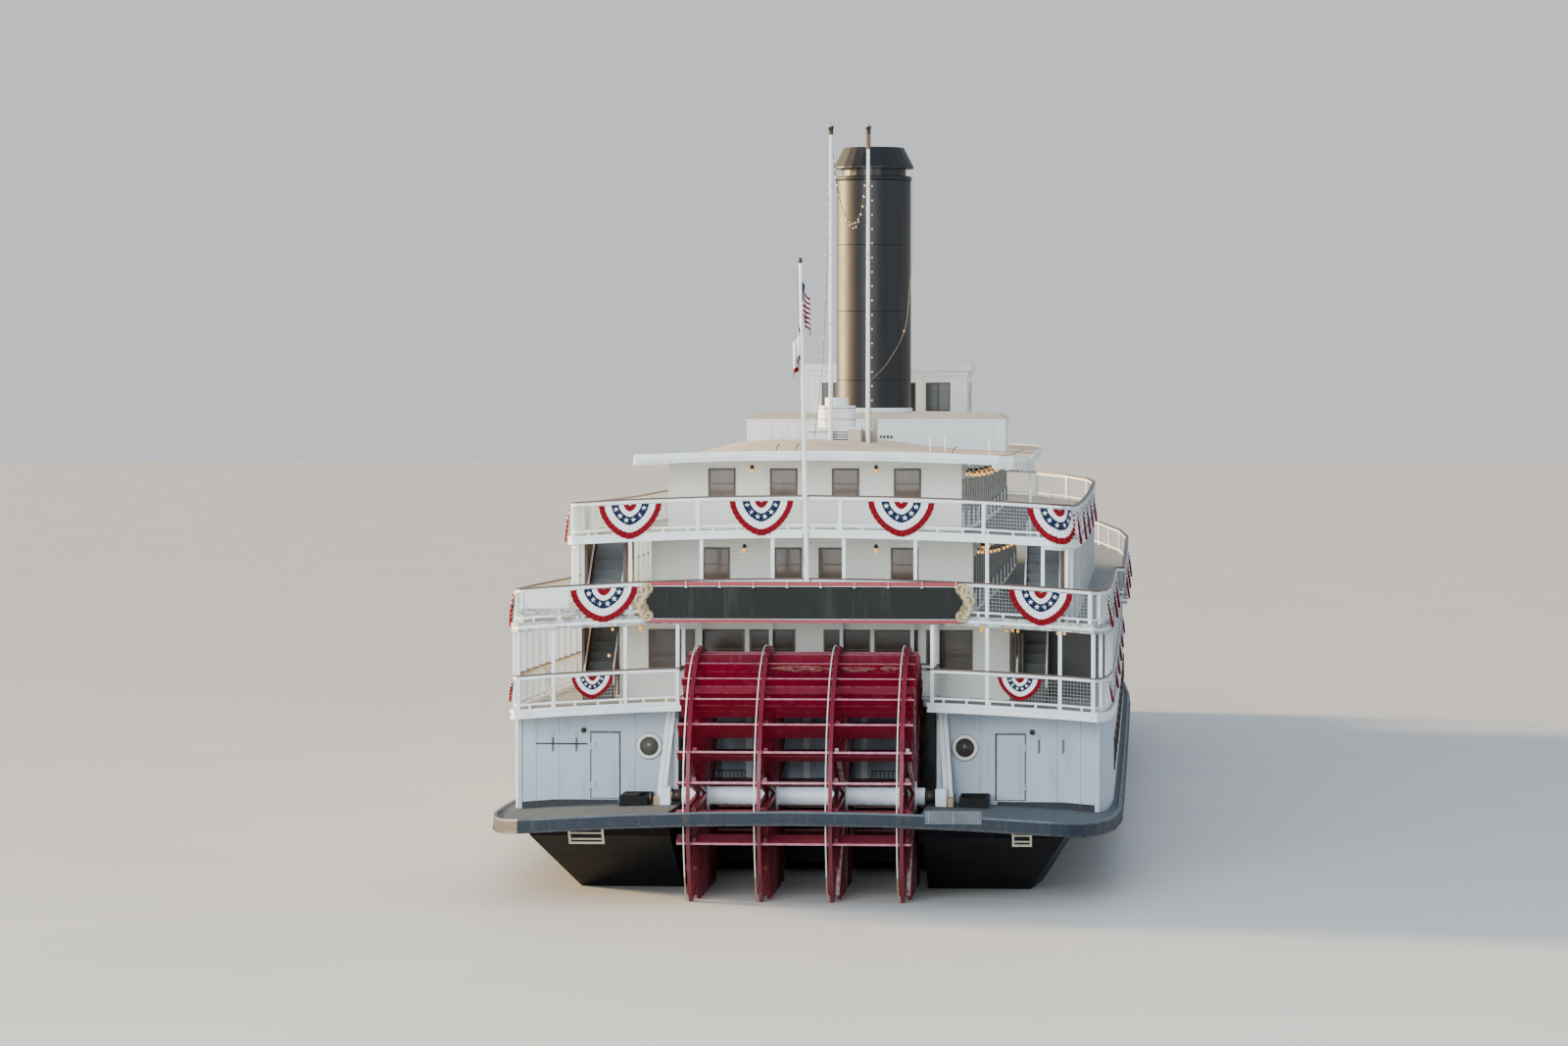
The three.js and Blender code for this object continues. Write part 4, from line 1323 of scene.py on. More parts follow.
@dataclass(frozen=True)
class Gallery:
    """Cap, bottom rail, wire mesh and edge boards round one deck."""

    THIRDS = (0, 2.094, 4.189)

    name: str
    line: PlanLine
    deck: Deck
    edge: str = "white"
    foot_gap: float = 0.069
    rail_inset: float = 0.012
    cap_low: float = 0.0923
    cap_high: float = 0.0968
    rail_low: float = 0.010
    rail_high: float = 0.0155
    mesh_top: float = 0.0835
    mesh_pitch: float = 0.0092
    wire: float = 0.00032

    def build(self) -> None:
        """Builds the gallery's trim and its mesh."""
        centre = divided(inset(self.line, self.rail_inset))
        trim = Draft()
        top = self.deck.top
        band(trim, centre, 0.0062, top + self.cap_low, top + self.cap_high, "trim_brown")
        band(trim, centre, 0.0036, top + self.rail_low, top + self.rail_high, "white")
        self._blocks(trim)
        self._edge_boards(trim)
        trim.build(f"{self.name}_rail_trim")
        self._mesh(centre)

    def _blocks(self, trim: Draft) -> None:
        """Small feet under the bottom rail.

        Args:
            trim: Takes the faces.
        """
        line = inset(self.line, self.rail_inset)
        for start, end in zip(line, line[1:] + line[:1]):
            count = max(1, round(math.dist(start, end) / self.foot_gap))
            for index in range(count):
                share = (index + 0.5) / count
                x = start[0] + (end[0] - start[0]) * share
                y = start[1] + (end[1] - start[1]) * share
                z = self.deck.top + lift(x, y)
                trim.box((x - 0.003, y - 0.003, z), (x + 0.003, y + 0.003, z + 0.011), "white")

    def _edge_boards(self, trim: Draft) -> None:
        """A nosing and a lower moulding along the deck's edge.

        Args:
            trim: Takes the faces.
        """
        outer = divided(inset(self.line, 0.0002))
        band(trim, outer, 0.0032, self.deck.top - 0.0085, self.deck.top + 0.0008,
             self.edge)
        band(trim, outer, 0.0020, self.deck.under - 0.0010, self.deck.under + 0.0075,
             self.edge)

    def _mesh(self, centre: PlanLine) -> None:
        """Welded wire mesh between the rails.

        Args:
            centre: Plan line of the mesh.
        """
        net = Draft()
        low = self.deck.top + self.rail_high
        high = self.deck.top + self.mesh_top
        for x, y in divided(centre, self.mesh_pitch):
            rise = lift(x, y)
            foot = [
                Vector((x + self.wire * math.cos(turn), y + self.wire * math.sin(turn), rise))
                for turn in self.THIRDS
            ]
            points = [point + UP * z for z in (low, high) for point in foot]
            net.add(points, [(0, 1, 4, 3), (1, 2, 5, 4), (2, 0, 3, 5)], "wire")
        steps = 7
        half = 0.00025
        for step in range(1, steps):
            z = low + (high - low) * step / steps
            band(net, divided(centre, 0.3), half, z - half, z + half, "wire")
        net.build(f"{self.name}_rail_mesh", merge=False)


# Windows of the houses


@dataclass(frozen=True)
class SideRow:
    """Windows along both sides of a house, with a door at every so manieth place or none."""

    half: float
    y0: float
    y1: float
    pitch: float
    width: float
    sill: float
    head: float
    doors: int = 2


@dataclass(frozen=True)
class WindowStyle:
    """How the windows of a wall look."""

    frame: str = "trim_brown"
    pane: str = "pane_blind"
    border: float = 0.0054
    stand: float = 0.0045


class Windows:
    """Frames and panes on the houses' walls."""

    DOOR_HALF = 0.036
    AFT_ROWS: tuple[tuple[float, Range, str, tuple[Range, ...]], ...] = (
        (-3.430, (0.789, 0.893), "pane_dusk",
         ((-0.473, -0.350), (-0.324, -0.206), (-0.181, -0.060), (0.033, 0.156), (0.179, 0.294),
          (0.328, 0.451))),
        (-3.530, (1.0457, 1.132), "pane_blind",
         ((-0.308, -0.240), (-0.1016, -0.0335), (0.025, 0.088), (0.2316, 0.2985))),
        (-3.410, (1.2775, 1.3563), "pane_blind",
         ((-0.3016, -0.2333), (-0.1235, -0.0546), (0.0554, 0.123), (0.2338, 0.3013))),
    )
    HOUSE_ROWS = (
        SideRow(0.562, -3.25, 1.95, 0.26, 0.13, 0.792, 0.893, 4),
        SideRow(0.460, -3.38, 0.90, 0.20, 0.075, 1.040, 1.132),
        SideRow(0.423, -3.28, 0.95, 0.20, 0.075, 1.272, 1.352),
    )
    MAIN_ROW = SideRow(0.858, -2.95, 1.65, 0.42, 0.13, 0.535, 0.62, 0)

    def __init__(self) -> None:
        """An empty draft for all windows."""
        self.draft = Draft()

    def one(self, wall: Place, u: Range, v: Range, style: WindowStyle) -> None:
        """Builds one window.

        Args:
            wall: Frame on the wall, with its origin at z 0.
            u: Its range along the wall.
            v: Heights of its sill and its head.
            style: How it looks.
        """
        (u0, u1), (v0, v1), b = u, v, style.border
        middle = (v0 + v1) / 2
        self.draft.slab(wall, u, v, (0.0004, 0.0014), style.pane)
        for u2, u3, v2, v3 in (
            (u0 - b, u0, v0 - b, v1 + b), (u1, u1 + b, v0 - b, v1 + b), (u0, u1, v0 - b, v0),
            (u0, u1, v1, v1 + b),
        ):
            self.draft.slab(wall, (u2, u3), (v2, v3), (0.0002, style.stand), style.frame)
        self.draft.slab(wall, u, (middle - 0.0016, middle + 0.0016), (0.0012, 0.0032), style.frame)

    def along_side(self, row: SideRow, side: int, style: WindowStyle) -> None:
        """Windows and doors in turn along a house's side, lifted with the deck.

        Args:
            row: Where they are.
            side: 1 for starboard, -1 for port.
            style: How they look.
        """
        count = round((row.y1 - row.y0) / row.pitch)
        door = self.DOOR_HALF
        foot = row.sill - 0.052
        for index in range(count + 1):
            y = row.y0 + (row.y1 - row.y0) * index / count
            wall = facing(side * row.half, y, lift(row.half, y), 90 * side)
            if row.doors and index % row.doors == row.doors - 1:
                self.one(wall, (-door, door), (row.sill, row.head + 0.004), style)
                self.draft.slabs(
                    wall, (-door, door, foot, foot + 0.048, 0.0002, 0.003, style.frame),
                    (-door - 0.0045, -door, foot, row.sill, 0.0002, 0.0045, style.frame),
                    (door, door + 0.0045, foot, row.sill, 0.0002, 0.0045, style.frame),
                )
            else:
                self.one(wall, (-row.width / 2, row.width / 2), (row.sill, row.head), style)

    def build(self) -> None:
        """Builds all rows."""
        for y, heights, pane, spans in self.AFT_ROWS:
            for span in spans:
                self.one(facing(0, y, 0, 0), span, heights, WindowStyle(pane=pane))
        pale = WindowStyle(frame="seam", pane="pane_dusk", stand=0.0024)
        for side in (-1, 1):
            for row in self.HOUSE_ROWS:
                self.along_side(row, side, pale)
            self.along_side(self.MAIN_ROW, side, WindowStyle(pane="pane_dark"))
        self.draft.build("house_windows")


# Aft ends of the main house, beside the wheel


class AftBlocks:
    """Portholes, seams, door frames, lamps and braces on the two aft walls."""

    WALL_Y = -3.710

    def __init__(self) -> None:
        """An empty draft, and the frame of both walls."""
        self.draft = Draft()
        self.wall = facing(0, self.WALL_Y, 0, 0)

    def porthole(self, u: float, v: float, pane: str) -> None:
        """A round window with a pale ring.

        Args:
            u: Place along the wall.
            v: Height.
            pane: Key of the finish of its glass.
        """
        for finish, profile in (
            ("plate_white", [(0.0265, 0.0006), (0.0265, 0.0052), (0.0290, 0.0062),
                             (0.0345, 0.0058), (0.0365, 0.0040), (0.0365, 0.0002)]),
            ("seam", [(0.0385, 0.0002), (0.0385, 0.0016), (0.0355, 0.0016), (0.0355, 0.0002)]),
            (pane, [(0.0268, 0.0004), (0.0268, 0.0016)]),
            ("iron_dark", [(0.0275, 0.0014), (0.0275, 0.0030), (0.0250, 0.0030),
                           (0.0250, 0.0014)]),
        ):
            self.draft.lathe(profile, self.wall.at(u, v), self.wall.out, finish, 36)

    def build(self) -> None:
        """Builds both sides."""
        self.porthole(-0.4477, 0.580, "pane_olive")
        self.porthole(0.4450, 0.580, "pane_dark")
        for side in (-1, 1):
            for u in (0.488, 0.704, 0.770):
                rise = lift(u, self.WALL_Y)
                self.draft.slabs(self.wall, (side * u - 0.0006, side * u + 0.0006,
                                 GUARD.top + rise + 0.016, SALOON.under + rise - 0.001,
                                 0.0001, 0.0007, "seam"))
            self._kick_board(side)
            self._boards(side)
            self._brace(side)
            self.draft.lathe([(0.0065, 0.0002), (0.0075, 0.003), (0.0072, 0.010), (0.0045, 0.015),
                              (0.0, 0.016)], self.wall.at(side * 0.634, 0.625), self.wall.out,
                             "iron_dark", 16)
        self._bar()
        self.draft.build("aft_wall_fittings")

    def _kick_board(self, side: int) -> None:
        """The dark board along the wall's foot, low enough for the door to swing over it.

        Args:
            side: 1 for starboard, -1 for port.
        """
        steps = 6
        for step in range(steps):
            a, b = sorted(side * (0.536 + 0.278 * (step + more) / steps) for more in (0, 1))
            low = [GUARD.top + lift(x, self.WALL_Y) + 0.0005 for x in (a, b)]
            high = [min(0.4285, z + 0.019) for z in low]
            self.draft.prism([(a, low[0]), (b, low[1]), (b, high[1]), (a, high[0])], self.wall,
                             (0.0002, 0.0026), "trim_black")

    def _boards(self, side: int) -> None:
        """Upright boards at the wall's ends, and the gaps round the door.

        Args:
            side: 1 for starboard, -1 for port.
        """
        rise = lift(0.817, self.WALL_Y)
        low, high = GUARD.top + rise + 0.001, SALOON.under + rise - 0.001
        for inner, outer, foot, top, back, out, finish in (
            (0.8100, 0.8225, low, high, 0.0002, 0.0060, "main_wall"),
            (0.366, 0.376, low + 0.02, high, 0.0002, 0.0040, "white"),
            (0.530, 0.617, 0.6205, 0.6225, 0.0001, 0.0014, "seam"),
            (0.5290, 0.5305, 0.4290, 0.6225, 0.0001, 0.0014, "seam"),
        ):
            self.draft.slab(self.wall, beside(side, inner, outer), (foot, top), (back, out), finish)

    def _brace(self, side: int) -> None:
        """The doubled white post that leans from the deck up to the deck's corner above.

        Args:
            side: 1 for starboard, -1 for port.
        """
        foot = Vector((side * 0.4035, -3.815, 0.4420))
        head = Vector((side * 0.3815, -3.722, 0.7000))
        for shift in (-0.0065, 0.0065):
            across = RIGHT * shift
            self.draft.beam(foot + across, head + across, 0.0116, 0.015, "white", AHEAD)

    def _bar(self) -> None:
        """The iron bar with its two hangers on the port side, and the hangers to starboard."""
        at = self.wall.at
        self.draft.tube([at(-0.770, 0.587, 0.007), at(-0.624, 0.5868, 0.007)], 0.0016, "iron_dark")
        for u in (-0.722, -0.655, 0.653, 0.721):
            self.draft.slabs(
                self.wall, (u - 0.0035, u - 0.0023, 0.560, 0.620, 0.0002, 0.0012, "seam"),
                (u + 0.0023, u + 0.0035, 0.575, 0.620, 0.0002, 0.0012, "seam"),
            )
            self.draft.tube([at(u, 0.603, 0.002), at(u, 0.585, 0.008), at(u, 0.566, 0.003)],
                            0.0013, "iron_dark", 6)


# Paddle wheel


@dataclass(frozen=True)
class PaddleWheel:
    """The stern wheel: shaft, hubs, arms, rims, hoops and buckets."""

    y: float = -3.865
    z: float = 0.454
    rim_outer: float = 0.422
    rim_inner: float = 0.396
    hub: float = 0.046
    arms: int = 30
    first: float = 9.6
    frames: tuple[float, ...] = (-0.290, -0.097, 0.097, 0.290)
    bucket_half: float = 0.3225
    bucket_inner: float = 0.331
    bucket_outer: float = 0.403
    bucket_thick: float = 0.0058
    first_bucket: int = -2
    last_bucket: int = 16
    seed: int = 4

    def directions(self, angle: float) -> tuple[Vector, Vector]:
        """Directions away from the shaft, and upwards at right angles to that.

        Args:
            angle: Degrees up from the aft horizontal.

        Returns:
            Both directions.
        """
        turn = math.radians(angle)
        return (Vector((0, -math.cos(turn), math.sin(turn))),
                Vector((0, math.sin(turn), math.cos(turn))))

    def spot(self, x: float, radius: float, angle: float) -> Vector:
        """A point of the wheel, with the angle in degrees up from the aft horizontal."""
        return Vector((x, self.y, self.z)) + self.directions(angle)[0] * radius

    def angle(self, index: float) -> float:
        """Angle of an arm in degrees."""
        return self.first + index * 360 / self.arms

    def build(self) -> None:
        """Builds the wheel as one piece."""
        rng = random.Random(self.seed)
        draft = Draft()
        for x in self.frames:
            self._frame(draft, x)
        self._shaft(draft)
        for index in range(self.first_bucket, self.last_bucket + 1):
            self._bucket(draft, index, rng)
        self._torn(draft, rng)
        piece = draft.build("wheel_dressed", "paddle_wheel")
        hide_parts("paddle_wheel")

    def _rusty(self, angle: float) -> bool:
        """Whether the wheel is bare and dark at an angle."""
        return -150 < (angle + 180) % 360 - 180 < -14

    def _frame(self, draft: Draft, x: float) -> None:
        """One frame: doubled arms, rim planks and the outer hoop.

        Args:
            draft: Takes the faces.
            x: Place across the ship.
        """
        for index in range(self.arms):
            angle = self.angle(index)
            paint = "wheel_dark" if self._rusty(angle) else "wheel_red"
            behind = self.directions(angle)[1] * 0.0085
            for shift in (-0.0015, 0.0185):
                bare = shift > 0.01 and x > 0 and (index % 5 == 1 or angle < 14 and index % 2)
                start = self.spot(x + shift, self.hub * 0.8, angle) + behind
                end = self.spot(x + shift, self.bucket_outer - 0.006, angle) + behind
                draft.beam(start, end, 0.0100, 0.013, "wheel_bare" if bare else paint,
                           (AHEAD + UP).normalized())
            self._rim(draft, x, index, paint)
        self._hoop(draft, x)

    def _rim(self, draft: Draft, x: float, index: int, paint: str) -> None:
        """One rim plank between two arms.

        Args:
            draft: Takes the faces.
            x: Place across the ship.
            index: Number of the arm where it starts.
            paint: Key of its finish.
        """
        points = [
            self.spot(x + side, radius, self.angle(index + after))
            for side in (-0.0015, 0.0085) for radius in (self.rim_inner, self.rim_outer - 0.003)
            for after in (0, 1)
        ]
        faces = [(0, 2, 3, 1), (4, 5, 7, 6), (0, 1, 5, 4), (2, 6, 7, 3)]
        draft.add(points, turned_out(points, faces), paint)

    def _hoop(self, draft: Draft, x: float) -> None:
        """The thin iron hoop round the frame, white above and rusty below.

        Args:
            draft: Takes the faces.
            x: Place across the ship.
        """
        steps = 120
        rows = []
        finishes = []
        for step in range(steps + 1):
            angle = step * 360 / steps
            centre = self.spot(x - 0.0082, self.rim_outer - 0.0008, angle)
            row = ring(centre, self.directions(angle)[0], RIGHT, 0.0017, 8)
            rows.append(row + row[:1])
            middle = ((step + 0.5) * 360 / steps + 180) % 360 - 180
            finishes.append("hoop_rust" if -152 < middle < -28 else "hoop_white")
        draft.sheet_strip(rows, finishes[:steps])

    def _shaft(self, draft: Draft) -> None:
        """The white shaft, its collars at the frames, and its bare journals.

        Args:
            draft: Takes the faces.
        """
        origin = Vector((0, self.y, self.z))
        for side in (-1, 1):
            draft.lathe([(0.0, side * 0.3380), (0.0178, side * 0.3385), (0.0178, side * 0.3690)],
                        origin, RIGHT, "iron_dark")
        draft.lathe([(0.0, -0.3395), (0.0238, -0.3395), (0.0252, -0.3370), (0.0252, 0.3370),
                     (0.0238, 0.3395), (0.0, 0.3395)], origin, RIGHT, "shaft_white", 32)
        for x in self.frames:
            draft.lathe([
                (0.024, x - 0.026), (0.042, x - 0.0255), (0.0440, x - 0.0225),
                (0.0440, x + 0.0225), (0.042, x + 0.0255), (0.024, x + 0.026),
            ], origin, RIGHT, "shaft_white", 32)

    def _bucket(self, draft: Draft, index: int, rng: random.Random) -> None:
        """One bucket: two or three boards on the arms' upper faces, worn at the outer edge.

        Args:
            draft: Takes the faces.
            index: Number of its arm.
            rng: Source of the random draws.
        """
        radial, upward = self.directions(self.angle(index))
        boards = 3 if rng.random() < 0.6 else 2
        width = (self.bucket_outer - self.bucket_inner) / boards
        half, deep = (width - 0.0007) / 2, self.bucket_thick / 2
        for board in range(boards):
            reach = self.bucket_half - rng.uniform(0, 0.004)
            sag = rng.uniform(-0.0008, 0.0008)
            middle = self.bucket_inner + (board + 0.5) * width
            centre = Vector((0, self.y, self.z)) + radial * middle + upward * sag
            paint = "wheel_faded" if rng.random() < 0.12 or index < 0 else "wheel_red"
            draft.slab(Place(centre, RIGHT, upward, radial), (-reach, reach), (-half, half),
                       (-deep, deep), paint, "wheel_edge" if board == boards - 1 else None)

    def _torn(self, draft: Draft, rng: random.Random) -> None:
        """Torn fibres and bare wood on one of the upper buckets.

        Args:
            draft: Takes the faces.
            rng: Source of the random draws.
        """
        radial, upward = self.directions(self.angle(5))
        for low, high in ((-0.085, 0.075), (0.112, 0.199), (0.22, 0.26)):
            count = int((high - low) / 0.0026)
            for number in range(count):
                x = low + (high - low) * (number + rng.random()) / count
                length = rng.uniform(0.010, 0.026)
                belly = math.sin(math.pi * (x - low) / (high - low))
                inner = self.bucket_outer - 0.013 + rng.uniform(-0.0085, 0.0085) * belly
                start = Vector((x, self.y, self.z)) + radial * inner - upward * 0.0034
                lean = RIGHT * length + radial * rng.uniform(-0.003, 0.003)
                end = start + lean - upward * rng.uniform(0.0, 0.0030)
                tone = "wheel_faded" if number % 5 == 0 else "wheel_torn"
                draft.beam(start, end, rng.uniform(0.0014, 0.0038), 0.0010, tone, upward)


# Boards, plates and the sign


class SignBoard:
    """Mouldings, scrolls and lamp brackets of the blank name board."""

    HALF = 0.443
    LOW = 0.936
    HIGH = 1.051
    FACE_Y = -3.8403

    def build(self) -> None:
        """Builds the board's trim."""
        draft = Draft()
        wall = facing(0, self.FACE_Y, 0, 0)
        half, low, high = self.HALF, self.LOW, self.HIGH
        for v0, v1, edge in ((high - 0.0105, high - 0.0005, high - 0.0125),
                             (low + 0.0005, low + 0.0085, low + 0.0105)):
            draft.slab(wall, (-half + 0.008, half - 0.008), (v0, v1), (0.0002, 0.0042), "sign_red")
            draft.slab(wall, (-half + 0.008, half - 0.008), (edge - 0.0008, edge + 0.0008),
                       (0.0002, 0.0030), "plate_white")
        for index in range(9):
            u = -0.330 + index * 0.0943
            draft.tube([wall.at(u, high - 0.001, 0.003), wall.at(u, high + 0.002, 0.012),
                        wall.at(u, high - 0.012, 0.016)], 0.0010, "plate_white", 6)
            draft.lathe([(0.0016, 0.0), (0.0034, 0.004), (0.0034, 0.0065)],
                        wall.at(u, high - 0.010, 0.016), Vector((0, -0.3, -1)), "plate_white", 10)
        for side in (-1, 1):
            self._scroll(draft, wall, side)
        draft.build("sign_trim")

    def _scroll(self, draft: Draft, wall: Place, side: int) -> None:
        """An S-shaped scroll at one end: a cut board with a raised gilt edge.

        Args:
            draft: Takes the faces.
            wall: Frame on the wall.
            side: 1 for starboard, -1 for port.
        """
        middle = (self.LOW + self.HIGH) / 2
        discs = ((-0.004, 0.0375, 0.0165), (-0.004, -0.0375, 0.0165), (0.016, 0.004, 0.0165),
                 (0.006, 0.022, 0.015), (0.006, -0.018, 0.014))
        for du, dv, radius in discs:
            centre = wall.at(side * (self.HALF + du), middle + dv)
            draft.lathe([(radius, 0.0006), (radius, 0.0052), (0.0, 0.0056)], centre, wall.out,
                        "scroll_shade", 24, smooth=False)
        for du, dv, turn, first in ((-0.004, 0.0375, 1, -60), (-0.004, -0.0375, -1, 60),
                                    (0.016, 0.004, -1, 150)):
            points = []
            for step in range(28):
                angle = math.radians(first + turn * step * 20)
                radius = 0.0185 - step * 0.00058
                points.append(wall.at(
                    side * (self.HALF + du + radius * math.cos(angle)),
                    middle + dv + radius * math.sin(angle), 0.0062,
                ))
            draft.tube(points, [0.0048 - step * 0.00012 for step in range(28)], "scroll_gold", 8)
        spine = []
        for step in range(17):
            share = step / 16
            v = self.LOW + 0.010 + (self.HIGH - self.LOW - 0.020) * share
            u = self.HALF + 0.009 + 0.011 * math.sin((share - 0.08) * 2 * math.pi)
            spine.append(wall.at(side * u, v, 0.0058))
        draft.tube(spine, 0.0062, "scroll_gold", 8)


# Cloth


@dataclass(frozen=True)
class Fan:
    """A pleated half disc of bunting, hung along a rail."""

    path: RailPath
    middle: float
    deck: Deck
    radius: float
    drop: float
    on: str


class Bunting:
    """All the fans on the rails."""

    BANDS = (
        (0.04, 0.21, "cloth_red"), (0.21, 0.36, "cloth_white"), (0.36, 0.60, "cloth_blue"),
        (0.60, 0.81, "cloth_white"), (0.81, 1.0, "cloth_red"),
    )
    PLEATS = 17
    STEPS = 102
    HANG = 0.0815
    LOBE = 1.65

    def __init__(self) -> None:
        """An empty list of fans."""
        self.fans: list[Fan] = []

    def hang(self, fan: Fan) -> None:
        """Notes one fan to build."""
        self.fans.append(fan)

    def build(self) -> None:
        """Builds every fan as a sheet of cloth."""
        for number, fan in enumerate(self.fans):
            self._fan(fan, number)

    def _place(self, fan: Fan, u: float) -> Place:
        """The rail's frame at a distance from the fan's middle, at the height of its top."""
        at = fan.path.spot(fan.middle + u)
        return fan.path.frame(fan.middle + u, fan.deck.top + self.HANG + lift(at.x, at.y))

    def _point(self, fan: Fan, share: float, step: float, phase: float, raise_by: float = 0.0
               ) -> Vector:
        """A point of the cloth.

        Args:
            fan: The fan.
            share: Share of the way from its middle to its edge.
            step: Place round the fan, in steps.
            phase: Where the wave of the pleats starts.
            raise_by: Height over the cloth.

        Returns:
            The point.
        """
        angle = math.pi * step / self.STEPS
        fold = 2 * math.pi * self.PLEATS * step / self.STEPS
        slack = 0.0036 * share * math.sin(fold + phase)
        lobe = abs(math.cos(angle)) ** self.LOBE + abs(math.sin(angle)) ** self.LOBE
        edge = (1 + 0.007 * share * math.cos(fold)) * lobe ** (-1 / self.LOBE)
        u = -math.cos(angle) * fan.radius * share * edge
        v = -math.sin(angle) * fan.drop * share * edge
        swing = 0.0105 * min(1.0, -v / 0.085)
        return self._place(fan, u).at(0, v, 0.0062 + slack + swing + raise_by)

    def _fan(self, fan: Fan, number: int) -> None:
        """Builds one fan.

        Args:
            fan: The fan.
            number: Its number.
        """
        draft = Draft()
        phase = number * 1.7
        shares = [0.04]
        keys = []
        for low, high, key in self.BANDS:
            for part in (0.5, 1.0):
                shares.append(low + (high - low) * part)
                keys.append(key)
        rows = [
            [self._point(fan, share, step, phase) for step in range(self.STEPS + 1)]
            for share in shares
        ]
        draft.sheet_strip(rows, keys)
        piece = draft.build(f"bunting_{number:02d}", merge=False)
        stars = self._stars(fan, number, phase)

    def _stars(self, fan: Fan, number: int, phase: float) -> bpy.types.Object:
        """The white stars sewn on the blue band.

        Args:
            fan: The fan.
            number: Its number.
            phase: Where the wave of the pleats starts.

        Returns:
            The piece.
        """
        draft = Draft()
        size = fan.radius * 0.088
        for turn in (9, 26, 43, 59, 76, 93):
            centre = self._point(fan, 0.48, turn, phase, 0.0016)
            wall = self._place(fan, -math.cos(math.pi * turn / self.STEPS) * fan.radius * 0.48)
            points = []
            for corner in range(10):
                angle = math.pi / 2 + corner * math.pi / 5
                reach = size if corner % 2 == 0 else size * 0.42
                points.append(centre + wall.along * (reach * math.cos(angle))
                              + wall.up * (reach * math.sin(angle)))
            front = [point + wall.out * 0.0006 for point in points]
            draft.add(points + front, [
                tuple(range(10, 20)), tuple(reversed(range(10))),
                *[(i, (i + 1) % 10, 10 + (i + 1) % 10, 10 + i) for i in range(10)],
            ], "cloth_white")
        return draft.build(f"bunting_{number:02d}_stars")


def hang_bunting() -> None:
    """Places the fans as in the photo, and along the sides at even spacing."""
    bunting = Bunting()
    rails = {
        "saloon": (RailPath(inset(SALOON_LINE, 0.008)), SALOON, 0.062),
        "observation": (RailPath(inset(OBSERVATION_LINE, 0.008)), OBSERVATION, 0.094),
        "texas": (RailPath(inset(TEXAS_LINE, 0.008)), TEXAS, 0.097),
    }

    def aft(rail: str, low: float, high: float, on: str) -> None:
        """A fan on the aft rail, given by its ends across the ship."""
        path, deck, drop = rails[rail]
        middle = path.nearest(low, EDGE_AFT_Y + 0.008) + (high - low) / 2
        bunting.hang(Fan(path, middle, deck, (high - low) / 2, drop, on))

    aft("saloon", -0.655, -0.537, "saloon_rail_aft_port")
    aft("saloon", 0.5405, 0.663, "saloon_rail_aft_starboard")
    aft("observation", -0.6587, -0.468, "observation_rail_aft")
    aft("observation", 0.5705, 0.749, "observation_rail_aft")
    aft("texas", -0.578, -0.401, "texas_rail_aft")
    aft("texas", -0.210, -0.031, "texas_rail_aft")
    aft("texas", 0.1776, 0.3640, "texas_rail_aft")
    aft("texas", 0.622, 0.799, "texas_rail_aft")
    radii = {"saloon": 0.062, "observation": 0.090, "texas": 0.090}
    for rail, (path, deck, drop) in rails.items():
        for side, tail in ((-1, "port"), (1, "starboard")):
            count = 6 if rail != "texas" else 5
            for index in range(count):
                y = -3.69 + index * 0.94 if side < 0 else -3.52 + index * 0.90
                middle = path.nearest(side * 0.95, y)
                bunting.hang(Fan(path, middle, deck, radii[rail], drop, f"{rail}_rail_{tail}"))
    bunting.build()


# Guard deck, hull and wheel well


